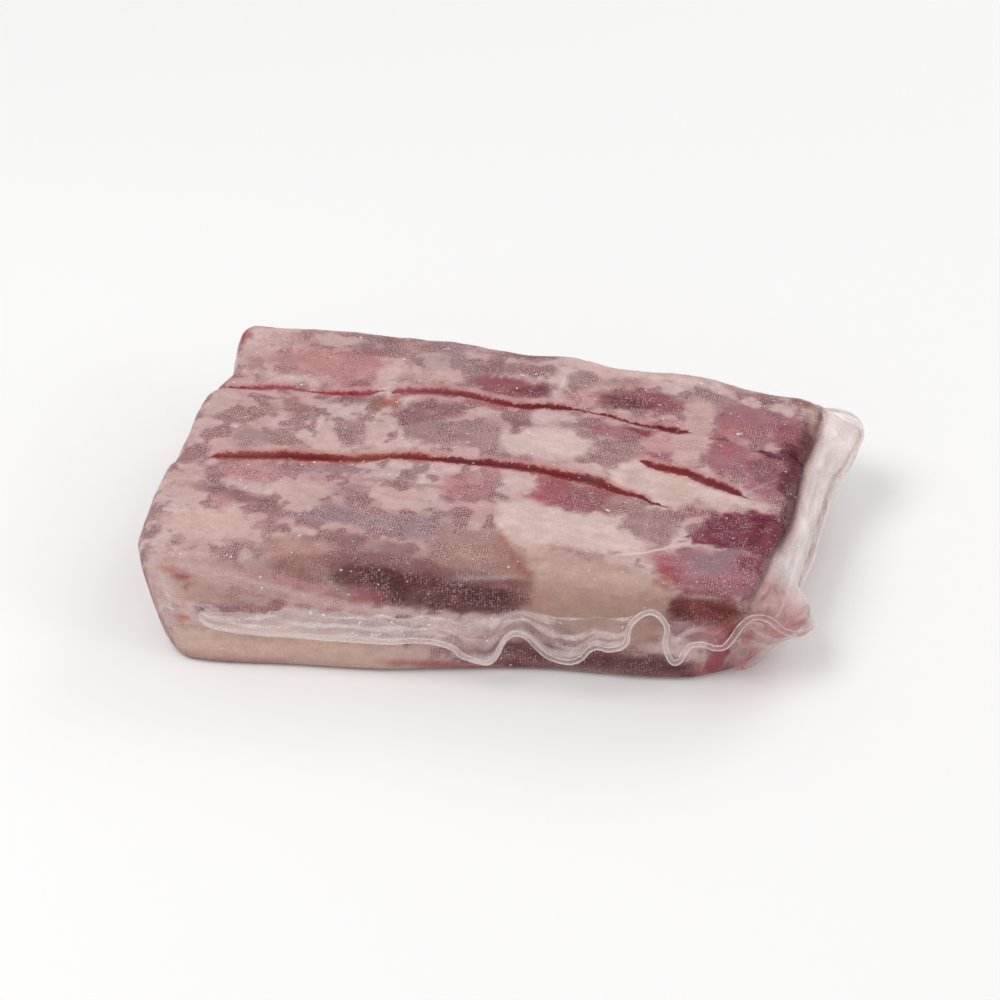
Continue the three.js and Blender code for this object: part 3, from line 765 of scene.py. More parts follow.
def ramped(value, low, high, to_low=0.0, to_high=1.0):
    """A value taken smoothly from one range to another."""
    node = add(
        value.id_data, "ShaderNodeMapRange", value, low, high, to_low, to_high,
        interpolation_type="SMOOTHSTEP",
    )
    return node.outputs["Result"]


def blended(share, a, b, mode="MIX"):
    """Two colours, each a socket or a plain colour, mixed by a share."""
    tree = next(value.id_data for value in (a, b, share) if isinstance(value, bpy.types.NodeSocket))
    node = add(tree, "ShaderNodeMix", data_type="RGBA", blend_type=mode)
    for socket, value in zip((node.inputs[0], node.inputs[6], node.inputs[7]), (share, a, b)):
        feed(socket, value)
    return node.outputs[2]


def noise(place, scale, detail=2.0, roughness=0.5):
    node = add(
        place.id_data, "ShaderNodeTexNoise", Vector=place, Scale=scale, Detail=detail,
        Roughness=roughness,
    )
    return node.outputs["Fac"]


def written(tree, name, output="Fac"):
    """A number or colour that each point of the mesh holds."""
    return add(tree, "ShaderNodeAttribute", attribute_name=name).outputs[output]


DOT_PITCH = 1.08


def film_dots(tree):
    """The embossed film's small dots, as a value from 0 between them to 1 in the middle of each."""
    sheet = add(tree, "ShaderNodeUVMap", uv_map="Sheet").outputs["UV"]
    cells = add(
        tree, "ShaderNodeTexVoronoi", voronoi_dimensions="2D", Vector=sheet,
        Scale=10 / DOT_PITCH, Randomness=0.38,
    )
    return ramped(cells.outputs["Distance"], 0.12, 0.52, 1.0, 0.0)


def new_material(name):
    """A material with an empty tree, and the place in space that its noise follows."""
    material = bpy.data.materials.new(name)
    material.use_nodes = True
    tree = material.node_tree
    tree.nodes.clear()
    return material, tree, add(tree, "ShaderNodeTexCoord").outputs["Object"]


BLOOD_HALO, BLOOD_HEART = (176, 84, 84), (66, 0, 8)


def with_blood(tree, place, colour):
    """The meat's colour with the ragged dark lines of frozen blood in the grooves laid over it."""
    reach = written(tree, "blood_reach")
    wavy = sums("SUBTRACT", noise(place, 110), 0.5)
    ragged = sums("SUBTRACT", noise(place, 420, 4, 0.75), 0.5)
    moved = times_plus(wavy, 2.6, times_plus(ragged, 5.0, written(tree, "beside_groove")))
    share = sums("DIVIDE", sums("ABSOLUTE", moved), sums("MAXIMUM", reach, 0.05))
    rim = times(ramped(moved, 0.5, 1.5), ramped(moved, 3.5, 6.5, 1.0, 0.0))
    rim = times(rim, ramped(reach, 0.8, 1.6, 0.0, 0.55))
    rimmed = blended(rim, colour, tone("pink fat"))
    halo = times(ramped(share, 1.1, 2.6, 0.45, 0.0), ramped(reach, 0.4, 1.6))
    rimmed = blended(halo, rimmed, light_of(BLOOD_HALO))
    heart = ramped(share, 0.1, 0.8, 0.5, 0.0)
    darker = blended(heart, written(tree, "blood", "Color"), light_of(BLOOD_HEART))
    soaked = times(ramped(share, 0.75, 1.5, 1.0, 0.0), ramped(reach, 0.1, 0.4))
    return blended(times(soaked, 0.95), rimmed, darker)


FROSTED_WEB, CRYSTAL = (206, 156, 160), (222, 188, 192)
PALER, WEB_PALER, DOT_DARKER = (1.22, 1.26, 1.25), (1.4, 1.45, 1.45), (0.32, 0.22, 0.24)


def frozen_meat():
    """Frozen meat under embossed film: painted tissue, broken up by dots, frost and fine fibre."""
    material, tree, place = new_material("frozen_meat")
    dots = film_dots(tree)
    broken = ramped(noise(place, 330, 3, 0.65), 0.3, 0.5)
    islands = ramped(noise(place, 120, 3, 0.55), 0.53, 0.57)
    net = times(written(tree, "net"), times_plus(islands, -0.8, 1.0))
    cloud = ramped(noise(place, 110, 4, 0.6), 0.4, 0.7)
    stretched = add(tree, "ShaderNodeMapping", vector_type="POINT", Vector=place, Scale=(0.5, 1, 1))
    fibre = ramped(noise(stretched.outputs[0], 260, 5, 0.7), 0.3, 0.7, 0.76, 1.2)
    mottle = ramped(noise(place, 820, 3, 0.7), 0.3, 0.7, 0.84, 1.14)
    grains = sums("SUBTRACT", times(fibre, mottle), 1.0)
    rough_share = times_plus(net, 0.6, 0.4)
    grained = add(
        tree, "ShaderNodeVectorMath", written(tree, "tissue", "Color"), operation="SCALE",
        Scale=times_plus(grains, rough_share, 1.0),
    ).outputs[0]
    pale_share = times(times_plus(islands, 0.6, times(cloud, 0.3)), rough_share)
    clouded = blended(pale_share, grained, blended(1.0, grained, PALER, "MULTIPLY"))
    web = blended(0.16, blended(1.0, clouded, WEB_PALER, "MULTIPLY"), light_of(FROSTED_WEB))
    gaps = times(sums("SUBTRACT", 1.0, dots), times(net, broken))
    webbed = blended(times(gaps, 0.6), clouded, web)
    dark = blended(1.0, clouded, DOT_DARKER, "MULTIPLY")
    dotted = blended(times(times(times(dots, broken), net), 0.9), webbed, dark)
    frosting = ramped(noise(place, 900), 0.47, 0.6)
    speck = times(times_plus(net, 0.8, 0.03), times(frosting, ramped(dots, 0.1, 0.6, 1.0, 0.1)))
    frosted = blended(speck, dotted, blended(0.4, clouded, light_of(CRYSTAL)))
    lumps = times_plus(dots, -0.35, noise(place, 700, 3, 0.6))
    bump = add(tree, "ShaderNodeBump", Strength=0.35, Distance=0.0003, Height=lumps)
    skin = add(
        tree, "ShaderNodeBsdfPrincipled", Base_Color=with_blood(tree, place, frosted),
        Roughness=0.42, Specular_IOR_Level=0.1, Normal=bump.outputs[0],
    )
    add(tree, "ShaderNodeOutputMaterial", Surface=skin.outputs[0])
    return material


meat_finish = frozen_meat()


def make_strip(name, lanes, walls, across_cells):
    """One strip of meat between two of the block's plan lines, closed on all sides."""
    rows = wall_rows(1.3)
    cells = (300, across_cells, rows.shape[1] - 1)
    steps, quads = box_skin(cells)
    sides = [lane * HALF_WIDTH for lane in lanes]
    points, away, height, _ = on_block(steps, cells, rows, sides, walls, FILM_GAP)
    strip = new_piece(name, points, quads, meat_finish)
    painted = laid_flat(points, away, height, FRONT_ON_SHEET)
    spots = np.concatenate([painted, points[:, 2:]], -1)
    colour, net = paint_meat(painted, spots, height)
    beside, reach, blood = blood_lines(points, spots, height)
    write(strip, tissue=colour, net=net, beside_groove=beside, blood_reach=reach, blood=blood)
    write_sheet(strip, laid_flat(points, away, height, (0, -1)), quads)
    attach(strip, "root")
    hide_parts("sealed_rib_pack")


make_strip("front_rib_strip", LANES[0:2], (True, False), 92)
make_strip("middle_rib_strip", LANES[1:3], (False, False), 66)
make_strip("back_rib_strip", LANES[2:4], (False, True), 66)


# The film over the block: the clear embossed vacuum bag, drawn tight over the strips and down into
# the creases between them. At the right end it leaves the meat and runs out to the sealed edge.

SEAM_CORNER = 19
FRONT_RUN = 2 * (HALF_LENGTH - SEAM_CORNER)
SIDE_RUN = 2 * (HALF_WIDTH - SEAM_CORNER)
# By the distance round the block from the left of its front: how far the seam stands out, how
# much further the loose film runs, where the film is loose, and how high its ridge is
SEAM_REACH = (
    (0, -3), (14, 4), (105, 6), (128, 12), (182, 14), (200, 14), (211, 10), (222, 15), (240, 13),
    (252, 9), (266, 15), (276, 16), (290, 12), (304, 5), (322, 4), (350, 5), (370, 6), (386, 6),
    (402, 9), (420, 15), (438, 11), (540, 9), (624, 5), (640, -3),
)
FILM_RUN_OUT = ((238, 0), (262, 4), (292, 6), (410, 6), (432, 2), (446, 0))
LOOSE_END = ((244, 0), (270, 0.8), (296, 1), (412, 1), (440, 0))
CREST_HEIGHT = (
    (240, 34), (264, 28), (280, 25), (298, 27), (345, 28), (386, 31), (404, 36), (440, 33),
)
seam_reach, film_run_out = through(SEAM_REACH), through(FILM_RUN_OUT)
loose_end, crest_height = through(LOOSE_END), through(CREST_HEIGHT)


def outline_distance(straight, away):
    """Distance round the straight block: from the left of the front, by the right end, to the back
    left."""
    (x, y), (out_x, out_y) = straight.T, away.T
    turned = np.clip(np.arctan2(out_x, -out_y), 0, math.pi)
    front_share = np.where(out_y > 0.01, FRONT_RUN, np.clip(x + FRONT_RUN / 2, 0, FRONT_RUN))
    side_share = np.where(out_x > 0.01, np.clip(y + SIDE_RUN / 2, 0, SIDE_RUN), 0)
    side_share = np.where(out_y > 0.99, SIDE_RUN, side_share)
    back_share = np.where(out_y > 0.99, np.clip(FRONT_RUN / 2 - x, 0, FRONT_RUN), 0)
    on_left = (out_x < 0) | (np.abs(away).sum(1) < 0.5)
    return np.where(on_left, 0, front_share + SEAM_CORNER * turned + side_share + back_share)


# Each fold of the film: the line it follows on the painted sheet, its half width and its height.
# Each fold is raised as a ridge and made milkier along its line, the milky line partly a painted
# highlight.
FOLDS = (
    (((73, 4), (73, 43)), 0.3, 0.2),
    (((88, -8), (88.5, 43)), 0.3, 0.2),
    (((17, 42), (19, 60)), 0.8, 0.5),
    (((60, -64), (74, -58), (86, -50)), 0.8, 0.6),
    (((96, -30), (110, -8), (122, 4)), 0.6, 0.3),
    (((-42, -30), (-28, -28.5), (-14, -30)), 0.5, 0.3),
    (((-12, -58), (11, -56)), 0.4, 0.25),
    ((on_front(-118, 48), on_front(-90, 43), on_front(-66, 37), on_front(-38, 32)), 1.1, 0.6),
    ((on_front(-116, 45), on_front(-90, 39), on_front(-68, 33)), 0.7, 0.3),
    ((on_front(-137, 27), on_front(-126, 25), on_front(-110, 25)), 1.5, 0.8),
    ((on_front(-60, 47), on_front(-52, 42), on_front(-46, 36)), 1.0, 0.5),
    ((on_front(-6, 50), on_front(20, 49.5), on_front(38, 50)), 0.7, 0.5),
    ((on_front(72, 60), on_front(92, 47), on_front(120, 46)), 0.9, 0.5),
    ((on_front(-128, 30), on_front(-110, 29), on_front(-90, 31)), 1.0, 0.5),
    ((on_front(-134, 50), on_front(-126, 42), on_front(-122, 30), on_front(-118, 12)), 1.4, 0.6),
    (((137, 50), (144, 49), (152, 47)), 0.7, 0.5),
    (((141, 44), (142, 10), (139, -30), (136, -52)), 0.5, 0.45),
    (((147, 40), (148, 4), (144, -40)), 0.5, 0.4),
)


def to_line(u, v, line):
    """Distance from a line of points, and 1 along it fading to 0 at its two ends."""
    best, place = np.full(len(u), 1e9), np.zeros(len(u))
    ends = np.array(line, float)
    lengths = np.hypot(*np.diff(ends, axis=0).T)
    for (a, b), start, length in zip(zip(ends[:-1], ends[1:]), np.cumsum([0, *lengths]), lengths):
        way = (b - a) / length
        t = np.clip((u - a[0]) * way[0] + (v - a[1]) * way[1], 0, length)
        far = np.hypot(u - a[0] - t * way[0], v - a[1] - t * way[1])
        closer = far < best
        best = np.where(closer, far, best)
        place = np.where(closer, (start + t) / lengths.sum(), place)
    return best, np.sin(math.pi * np.clip(place, 0.03, 0.97)) ** 0.4


def see_through(tree, share, skin):
    """Clear film, apart from a share of it that shows its own skin."""
    clear = add(tree, "ShaderNodeBsdfTransparent").outputs[0]
    both = add(tree, "ShaderNodeMixShader", share, clear, skin.outputs[0])
    add(tree, "ShaderNodeOutputMaterial", Surface=both.outputs[0])


CLEAR_TINT, BLOOD_TINT, WELD_TINT = (250, 234, 231), (196, 104, 100), (238, 224, 220)


def clear_film():
    """Clear film: mostly see-through, with a soft shine, milky where it stands off or folds, the
    fold lines partly a painted highlight, and with tiny painted glints.
    """
    material, tree, place = new_material("clear_film")
    haze = written(tree, "haze")
    along_creases = add(tree, "ShaderNodeUVMap", uv_map="Creases").outputs["UV"]
    wavy = sums("ABSOLUTE", sums("SUBTRACT", noise(along_creases, 1.0, 3, 0.6), 0.5))
    crease = ramped(wavy, 0.0, 0.022, 1.0, 0.0)
    # Painted glints: tiny spots of white haze that stand in for highlights on the film.
    painted_glint = times(ramped(noise(place, 380), 0.7, 0.74), 0.6)
    share = times_plus(haze, ramped(noise(place, 70), 0.3, 0.7, 0.88, 1.12), painted_glint)
    share = times_plus(times(crease, ramped(haze, 0.12, 0.4)), 0.45, share)
    lumps = times_plus(crease, 1.2, noise(place, 200, 3, 0.6))
    lumps = times_plus(film_dots(tree), 0.4, lumps)
    bump = add(tree, "ShaderNodeBump", Strength=0.6, Distance=0.0004, Height=lumps)
    tint = blended(written(tree, "blood_tint"), light_of(CLEAR_TINT), light_of(BLOOD_TINT))
    skin = add(
        tree, "ShaderNodeBsdfPrincipled", Base_Color=tint, Roughness=0.3, IOR=2.2,
        Normal=bump.outputs[0],
    )
    see_through(tree, share, skin)
    return material


film_finish = clear_film()


def finish_film(piece, quads, sheet, creases, haze, tint):
    """What the clear film reads at each point: its two unrolled sheets, haze and tint of blood."""
    write(piece, haze=haze, blood_tint=tint)
    write_sheet(piece, np.stack(sheet, -1), quads)
    write_sheet(piece, np.stack(creases, -1), quads, "Creases")


# The wrinkles of the loose film: how long and high each is, how they slant, and how deep they are
WRINKLE_LENGTH, WRINKLE_HEIGHT, WRINKLE_SLANT, WRINKLE_DEPTH = 26, 3.4, 40, 1.6
# Where the bloody juice in the front ear starts and ends, by the distance round the block
WRAP_JUICE = (228, 240), (266, 296)
SEAM_JUICE = (226, 240), (266, 300)
MOST_HAZE = 0.9


def within(distance, ends):
    """1 between two soft ends, each given as where it starts and where it is reached."""
    return smooth(distance, *ends[0]) * (1 - smooth(distance, *ends[1]))


def make_wrap():
    """The film over all three strips, closed round the block."""
    rows = wall_rows(1.6)
    cells = (216, 136, rows.shape[1] - 1)
    steps, quads = box_skin(cells)
    sides = (-HALF_WIDTH, HALF_WIDTH)
    points, away, height, straight = on_block(steps, cells, rows, sides, (True, True), 0)
    painted = laid_flat(points, away, height, FRONT_ON_SHEET)
    haze = 0.01 + 0.02 * smooth(grain(points, 14, 31), 0.4, 0.8)
    out = np.column_stack([away, smooth(height, HEIGHT - 12, HEIGHT)])
    out /= np.maximum(np.linalg.norm(out, axis=1), 1e-6)[:, None]
    for line, width, rise in FOLDS:
        near, strength = to_line(painted[:, 0], painted[:, 1], line)
        ridge = np.exp(-((near / (width + 0.2)) ** 2)) * strength
        points = points + out * (rise * ridge)[:, None]
        # Milkier film along the fold, partly a painted highlight along it.
        haze = haze + (0.08 + 0.3 * rise) * ridge
    distance = outline_distance(straight, away)
    crest, top = crest_height(distance), HEIGHT - 1
    below = smooth(height, 1, crest)
    above = np.clip((top - height) / (top - crest), 0, 1) ** 1.25
    slope = np.where(height < crest, below, above)
    loose_reach = seam_reach(distance) + film_run_out(distance) - 1.5
    stand_off = loose_reach * loose_end(distance) * slope
    up = height / WRINKLE_HEIGHT + distance / WRINKLE_SLANT
    spots = np.stack([distance / WRINKLE_LENGTH, up, 0 * height], -1)
    wrinkles = grain(spots, 1, 32) + 0.5 * grain(2 * spots, 1, 33) - 0.75
    wrinkles = wrinkles * np.minimum(stand_off / 3, 1)
    points[:, :2] += away * (stand_off + WRINKLE_DEPTH * wrinkles)[:, None]
    points[:, 2] += wrinkles
    haze = haze + smooth(stand_off, 0.5, 1.8) * (0.7 + 0.3 * np.maximum(wrinkles, 0))
    veins = smooth(np.abs(grain(spots * (2, 0.7, 1), 1, 34) - 0.5), 0.05, 0.01)
    tint = within(distance, WRAP_JUICE) * (0.65 + 0.35 * veins) * smooth(stand_off, 0.3, 1.5)
    bent = smooth(stand_off, 0.1, 0.5) * (1 - smooth(stand_off, 1.2, 3))
    bent = bent * smooth(distance, 250, 280)
    sheet = laid_flat(points, away, height, (0, -1)).T
    creases = (6 * (HEIGHT - height) + 0.5 * distance, 0.9 * distance)
    wrap = new_piece("tight_film", points, quads, film_finish)
    tint = np.maximum(tint, 0.6 * bent)
    finish_film(wrap, quads, sheet, creases, np.clip(haze, 0, MOST_HAZE), tint)
    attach(wrap, "root")
    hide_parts("sealed_rib_pack")


make_wrap()


# The seam of the bag: the two layers of film, welded and pressed flat round the block at half its
# height. It hangs flat at the left of the front, is ruffled to the right, and widens into two ears.

ROOT_HEIGHT = ((0, 30), (60, 33), (120, 32), (248, 36), (290, 30), (404, 33), (520, 27), (640, 22))

# The free edge as it is followed along: [distance round the block, height], with loops where the
# ruffle turns back on itself
EDGE_PATH = (
    (0, 25), (20, 20), (55, 19), (90, 19), (107, 20.5), (116, 22), (123, 21), (127, 17),
    (133, 14.4), (138, 13.2), (142, 15), (145, 20), (147, 25), (150.5, 29), (154, 30),
    (157.5, 28.8), (161, 25.4), (164, 22.4), (168, 19.5), (174, 18), (179, 18.2), (183.5, 21),
    (186.5, 25.7), (190, 27.7), (194, 26.7), (199, 28.2), (202.5, 31.5), (203, 36), (204, 40.7),
    (208, 44), (212.5, 44.8), (216, 43), (217.8, 39.6), (217, 33), (218.5, 26.5), (221.5, 22.6),
    (225, 23.5), (227.2, 28.4), (229.5, 32), (233.5, 32.2), (237.5, 29.7), (241.5, 29.8),
    (244.5, 33.2), (247.5, 38.3), (251, 41), (255.5, 39), (260, 32), (268, 26), (280, 23),
    (298, 26), (345, 27), (386, 31), (404, 37), (422, 37), (440, 27), (460, 20), (480, 25),
    (502, 19), (528, 24), (560, 19), (600, 20), (640, 20),
)
ROOT_INSET = 3
SEAM_FILM = 0.3
BAND_WIDTH = 1.9

root_height = through(ROOT_HEIGHT)


def straight_outline(distance):
    """A place on the straight block's wall, by its distance from the left of the front."""
    turn = SEAM_CORNER * math.pi / 2
    right_end = FRONT_RUN + turn + SIDE_RUN
    first = np.clip((distance - FRONT_RUN) / SEAM_CORNER, 0, math.pi / 2)
    second = np.clip((distance - right_end) / SEAM_CORNER, 0, math.pi / 2)
    along_right = np.clip(distance - FRONT_RUN - turn, 0, SIDE_RUN)
    x = np.minimum(distance, FRONT_RUN) - FRONT_RUN / 2 + SEAM_CORNER * np.sin(first)
    x = x - SEAM_CORNER * (1 - np.cos(second)) - np.maximum(distance - right_end - turn, 0)
    y = -HALF_WIDTH + SEAM_CORNER * (1 - np.cos(first)) + along_right + SEAM_CORNER * np.sin(second)
    return x, y


def off_wall(distance, reach, height):
    """A point that stands off the wall at half height by a reach, at a height of its own."""
    def at(d):
        x, y = straight_outline(d)
        return bend(x, y, np.full_like(x, HEIGHT / 2))
    way = at(distance + 12) - at(distance - 12)
    outward = np.stack([way[:, 1], -way[:, 0], 0 * way[:, 0]], -1)
    outward /= np.linalg.norm(outward, axis=1)[:, None]
    points = at(distance) + outward * (reach + film_run_out(distance))[:, None]
    points[:, 2] = height
    return points


def curve_along(keys, step):
    """Points about a step apart on a smooth curve through the keys."""
    keys = np.array(keys, float)
    before = np.vstack([2 * keys[0] - keys[1], keys[:-1]])
    after = np.vstack([keys[1:], 2 * keys[-1] - keys[-2]])
    slope = (after - before) / 2
    found = []
    for a, b, m, n in zip(keys[:-1], keys[1:], slope[:-1], slope[1:]):
        count = max(2, int(np.hypot(*(b - a)) / step) + 1)
        t = np.linspace(0, 1, count, endpoint=False)[:, None]
        ease = t * t * (3 - 2 * t)
        found.append(a + ease * (b - a) + t * (1 - t) ** 2 * m - t * t * (1 - t) * n)
    return np.vstack([*found, keys[-1:]])


def moving_mean(values, span):
    """Values smoothed over a span of neighbours, with the ends held."""
    padded = np.pad(values, span, mode="edge")
    return np.convolve(padded, np.ones(2 * span + 1) / (2 * span + 1), "valid")


edge_path = curve_along(EDGE_PATH, 0.7)
edge_way = np.gradient(edge_path, axis=0)
edge_way /= np.linalg.norm(edge_way, axis=1)[:, None]
band_path = edge_path + BAND_WIDTH * np.stack([-edge_way[:, 1], edge_way[:, 0]], -1)
root_path = moving_mean(edge_path[:, 0], 22)
BAND_CUT = 0.85


def seam_sheet(station, cut):
    """Points of the seam by station along its edge and cut: 0 at the root, BAND_CUT at the inner
    side of the welded band, and 1 at the free edge."""
    def along(values):
        return np.interp(station, np.arange(len(values)), values)
    edge_at, band_at, root_at = along(edge_path[:, 0]), along(band_path[:, 0]), along(root_path)
    edge_out = seam_reach(edge_at)
    root_out = between(-ROOT_INSET, edge_out - 4, loose_end(root_at))
    edge = off_wall(edge_at, edge_out, along(edge_path[:, 1]))
    band = off_wall(band_at, edge_out - 0.6, along(band_path[:, 1]))
    root = off_wall(root_at, root_out, root_height(root_at))
    body = np.clip(cut / BAND_CUT, 0, 1)[:, None]
    rim = np.clip((cut - BAND_CUT) / (1 - BAND_CUT), 0, 1)[:, None]
    return between(between(root, band, body), edge, rim), root_at


PLEAT_LENGTH, PLEATS_ACROSS, PLEAT_HEIGHT = 6.25, 9, 2.2
# Where the seam is milkier, by the distance round the block
FRONT_LEFT_END = (90, 140)
RIGHT_SIDE = (285, 310), (470, 520)


def make_seam():
    cells = (len(edge_path) - 1, 20, 1)
    steps, quads = box_skin(cells)
    cut = 1 - steps[:, 1] / cells[1]
    points, distance = seam_sheet(steps[:, 0].astype(float), cut)
    pleats = np.stack([distance / PLEAT_LENGTH, cut * PLEATS_ACROSS, 0 * cut], -1)
    flutter = grain(pleats, 1, 41) - 0.5 + 0.5 * (grain(pleats * 2, 1, 42) - 0.5)
    points[:, 2] += PLEAT_HEIGHT * flutter * smooth(cut, 0, 0.3) * (1 - smooth(cut, 0.6, BAND_CUT))
    points[:, 2] += (steps[:, 2] - 0.5) * SEAM_FILM
    streak = grain(np.stack([distance * 0.05, cut * 14, 0 * cut], -1), 1, 43)
    at_left = 1 - smooth(distance, *FRONT_LEFT_END)
    at_right = within(distance, RIGHT_SIDE)
    haze = 0.04 + 0.22 * smooth(streak, 0.45, 0.8) * (1 - 0.6 * at_right)
    haze = haze + 0.16 * at_left + 0.26 * at_right
    haze = (haze + 0.12 * smooth(cut, 0.82, 0.88)) * smooth(cut, 0, 0.08)
    tint = within(distance, SEAM_JUICE) * (0.55 + 0.45 * smooth(streak, 0.4, 0.7))
    seam = new_piece("bag_seam", points, quads, film_finish)
    haze = np.clip(haze, 0, MOST_HAZE)
    finish_film(seam, quads, (distance, cut * 16), (distance, cut * 60), haze, tint)
    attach(seam, "root")


make_seam()


# The welded band along the seam's free edge: two thin beads of melted film, one at each side of
# the band, that follow the ruffle. Each is a round bead swept along its line by Geometry Nodes.

BEAD_DIAMETER = 0.55
BEAD_STEP = 0.8
BEAD_SIDES = 8
BEAD_ENDS = (60, 286)


def bead_paths():
    """The two lines that the beads follow, as loose edges, in metres."""
    stations = np.arange(*np.searchsorted(edge_path[:, 0], BEAD_ENDS), dtype=float)
    count = len(stations)
    points = [seam_sheet(stations, np.full(count, cut))[0] for cut in (1.0, BAND_CUT)]
    edges = [(start + i, start + i + 1) for start in (0, count) for i in range(count - 1)]
    mesh = bpy.data.meshes.new("bead_paths")
    mesh.from_pydata(((np.concatenate(points) + BLOCK_TO_PACK) / 1000).tolist(), edges, [])
    return mesh


def bead_tree(finish):
    """Geometry Nodes that sweep a round bead along every line of loose edges."""
    tree = bpy.data.node_groups.new("sweep_beads", "GeometryNodeTree")

    def socket(name, way, kind):
        return tree.interface.new_socket(name, in_out=way, socket_type=kind).identifier

    socket("Geometry", "INPUT", "NodeSocketGeometry")
    width = socket("Bead diameter", "INPUT", "NodeSocketFloat")
    step = socket("Step along", "INPUT", "NodeSocketFloat")
    socket("Geometry", "OUTPUT", "NodeSocketGeometry")
    start = add(tree, "NodeGroupInput").outputs
    lines = add(tree, "GeometryNodeMeshToCurve", Mesh=start["Geometry"])
    even = add(
        tree, "GeometryNodeResampleCurve", mode="LENGTH", Curve=lines.outputs["Curve"],
        Length=start["Step along"],
    )
    half = times(start["Bead diameter"], 0.5)
    ring = add(tree, "GeometryNodeCurvePrimitiveCircle", Resolution=BEAD_SIDES, Radius=half)
    sweep = add(
        tree, "GeometryNodeCurveToMesh", Curve=even.outputs["Curve"],
        Profile_Curve=ring.outputs["Curve"], Fill_Caps=True,
    )
    shade = add(tree, "GeometryNodeSetShadeSmooth", Geometry=sweep.outputs["Mesh"])
    real = add(tree, "GeometryNodeRealizeInstances", Geometry=shade.outputs["Geometry"])
    dress = add(
        tree, "GeometryNodeSetMaterial", Geometry=real.outputs["Geometry"], Material=finish,
    )
    add(tree, "NodeGroupOutput", Geometry=dress.outputs["Geometry"])
    return tree, width, step


def welded_film():
    """Melted film: milky and shiny."""
    material, tree, place = new_material("welded_film")
    skin = add(
        tree, "ShaderNodeBsdfPrincipled", Base_Color=light_of(WELD_TINT), Roughness=0.25, IOR=1.7,
    )
    see_through(tree, ramped(noise(place, 300), 0.3, 0.7, 0.25, 0.6), skin)
    return material


def make_beads():
    paths = put_in_scene("bead_paths", bead_paths())
    finish = welded_film()
    tree, width, step = bead_tree(finish)
    modifier = paths.modifiers.new("sweep", "NODES")
    modifier.node_group = tree
    modifier[width] = BEAD_DIAMETER / 1000
    modifier[step] = BEAD_STEP / 1000
    swept = paths.evaluated_get(bpy.context.evaluated_depsgraph_get())
    mesh = bpy.data.meshes.new_from_object(swept)
    bpy.data.objects.remove(paths)
    beads = put_in_scene("seam_beads", mesh)
    if not mesh.materials:
        mesh.materials.append(finish)
    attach(beads, "root")


make_beads()


# The web of film below the front ear: a loose tent of the bag's own film, from the ear down to
# the foot of the block, held by nothing between the two.

WEB_ENDS = (243, 298)
WEB_TOP = ((240, 30), (251, 40), (260, 32), (268, 26), (280, 23), (298, 26))
WEB_STRENGTH = ((240, 0), (252, 1), (284, 1), (300, 0))
WEB_FOOT_REACH = ((240, -4), (256, -3), (272, -1), (298, -4))
WEB_FOOT_HEIGHT = ((240, 3), (254, 4), (272, 9), (298, 8))
web_strength, web_foot_reach = through(WEB_STRENGTH), through(WEB_FOOT_REACH)
web_foot_height, web_top = through(WEB_FOOT_HEIGHT), through(WEB_TOP)


def make_web():
    cells = (90, 30, 1)
    steps, quads = box_skin(cells)
    distance = between(*WEB_ENDS, steps[:, 0] / cells[0])
    cut = 1 - steps[:, 1] / cells[1]
    strength = web_strength(distance)
    top_reach, top_height = seam_reach(distance) - 1, web_top(distance) - 0.6
    foot_reach = between(top_reach, web_foot_reach(distance), strength)
    foot_height = between(top_height - 1, web_foot_height(distance), strength)
    belly = 2.5 * np.sin(math.pi * cut) * strength
    spots = np.stack([distance / 6, cut * 3, 0 * cut], -1)
    puckers = 1.6 * (grain(spots, 1, 51) - 0.5) * np.sin(math.pi * cut)
    reach = between(foot_reach, top_reach, cut) - belly + puckers
    thick = (steps[:, 2] - 0.5) * SEAM_FILM
    points = off_wall(distance, reach + thick, between(foot_height, top_height, cut))
    haze = 0.16 + 0.2 * smooth(grain(spots * (1, 3, 1), 1, 52), 0.5, 0.8)
    tint = 0.45 + 0.5 * smooth(grain(spots, 1, 53), 0.45, 0.7)
    web = new_piece("front_ear_web", points, quads, film_finish)
    finish_film(web, quads, (distance, cut * 26), (6 * distance, cut * 26), haze, tint)
    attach(web, "root")


make_web()


# The studio: a pale floor, soft light from all round with a wide lamp above, and the camera where
# the photograph was taken from.

FLOOR_HALF = 6
FLOOR_TONE = (0.9, 0.9, 0.9)
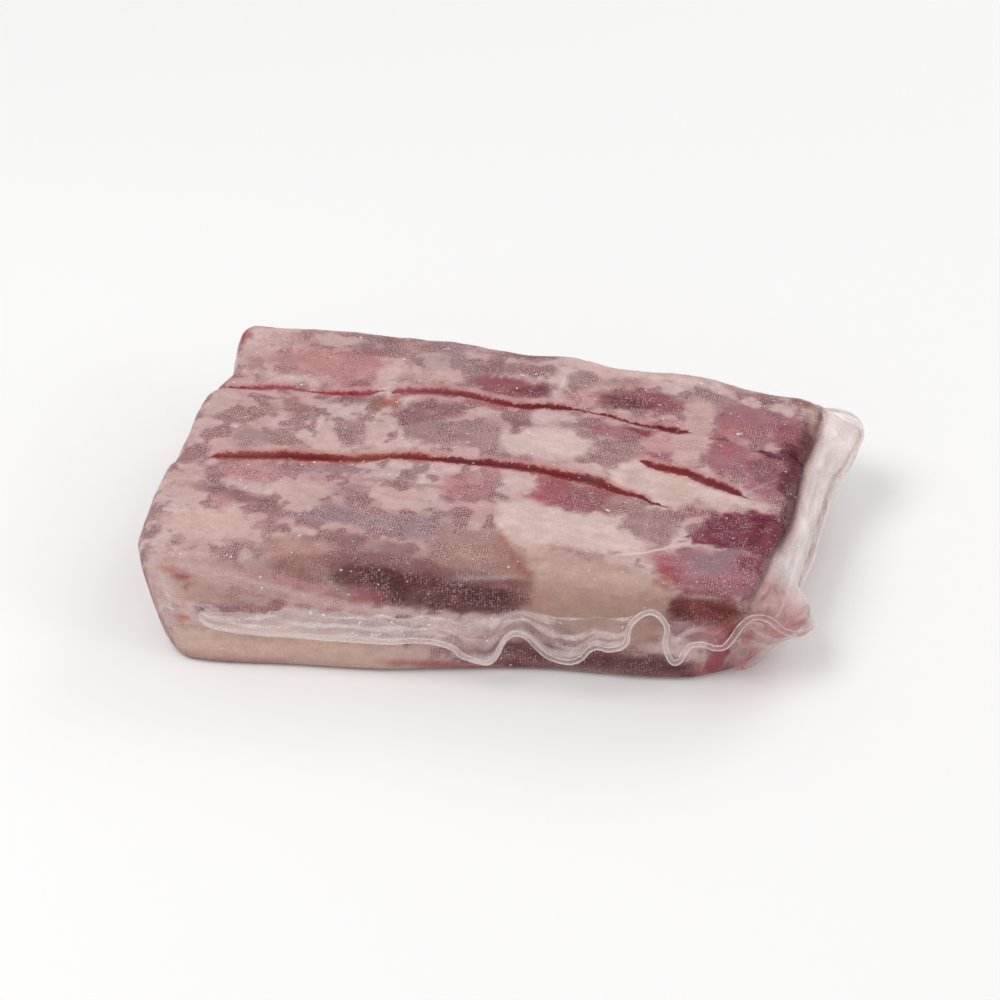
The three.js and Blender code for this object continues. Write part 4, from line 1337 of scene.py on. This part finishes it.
# Each lamp, which faces the pack: its place and width in metres, and its watts
LAMPS = {
    "wide_lamp": ((-0.7, -0.5, 1.5), 1.0, 12),
    "back_lamp": ((0.6, 1.2, 1.0), 0.8, 4),
    "side_lamp": ((1.4, -0.3, 0.8), 0.8, 3),
}
ROOM_LIGHT, ROOM_STRENGTH = (1, 0.99, 0.985), 0.62
AZIMUTH, ELEVATION, DISTANCE, LENS, SENSOR = 11, 38, 1.5217, 126, 36
AIM_HEIGHT = 25


def make_floor():
    mesh = bpy.data.meshes.new("floor")
    corners = [(x * FLOOR_HALF, y * FLOOR_HALF, 0) for x, y in ((-1, -1), (1, -1), (1, 1), (-1, 1))]
    mesh.from_pydata(corners, [], [(0, 1, 2, 3)])
    floor = put_in_scene("floor", mesh)
    material, tree, _ = new_material("pale_floor")
    skin = add(tree, "ShaderNodeBsdfPrincipled", Base_Color=FLOOR_TONE, Roughness=0.8)
    add(tree, "ShaderNodeOutputMaterial", Surface=skin.outputs[0])
    mesh.materials.append(material)


def faced_along(way):
    """The turn that points a lamp or the camera along a way."""
    return way.to_track_quat("-Z", "Y").to_euler()


make_floor()
for name, (place, width, watts) in LAMPS.items():
    light = bpy.data.lights.new(name, "AREA")
    light.shape, light.size, light.energy = "DISK", width, watts
    lamp = put_in_scene(name, light)
    lamp.location, lamp.rotation_euler = place, faced_along(-Vector(place))

world = bpy.data.worlds.new("studio")
world.use_nodes = True
room = world.node_tree.nodes["Background"]
feed(room.inputs["Color"], ROOM_LIGHT)
feed(room.inputs["Strength"], ROOM_STRENGTH)
bpy.context.scene.world = world
bpy.context.scene.view_settings.view_transform = "Standard"

a, e = math.radians(AZIMUTH), math.radians(ELEVATION)
back = Vector((math.sin(a) * math.cos(e), -math.cos(a) * math.cos(e), math.sin(e)))
lens = bpy.data.cameras.new("camera")
lens.lens, lens.sensor_width = LENS, SENSOR
camera = put_in_scene("camera", lens)
camera.location = Vector((*BLOCK_TO_PACK[:2], AIM_HEIGHT)) / 1000 + back * DISTANCE
camera.rotation_euler = faced_along(-back)
bpy.context.scene.camera = camera
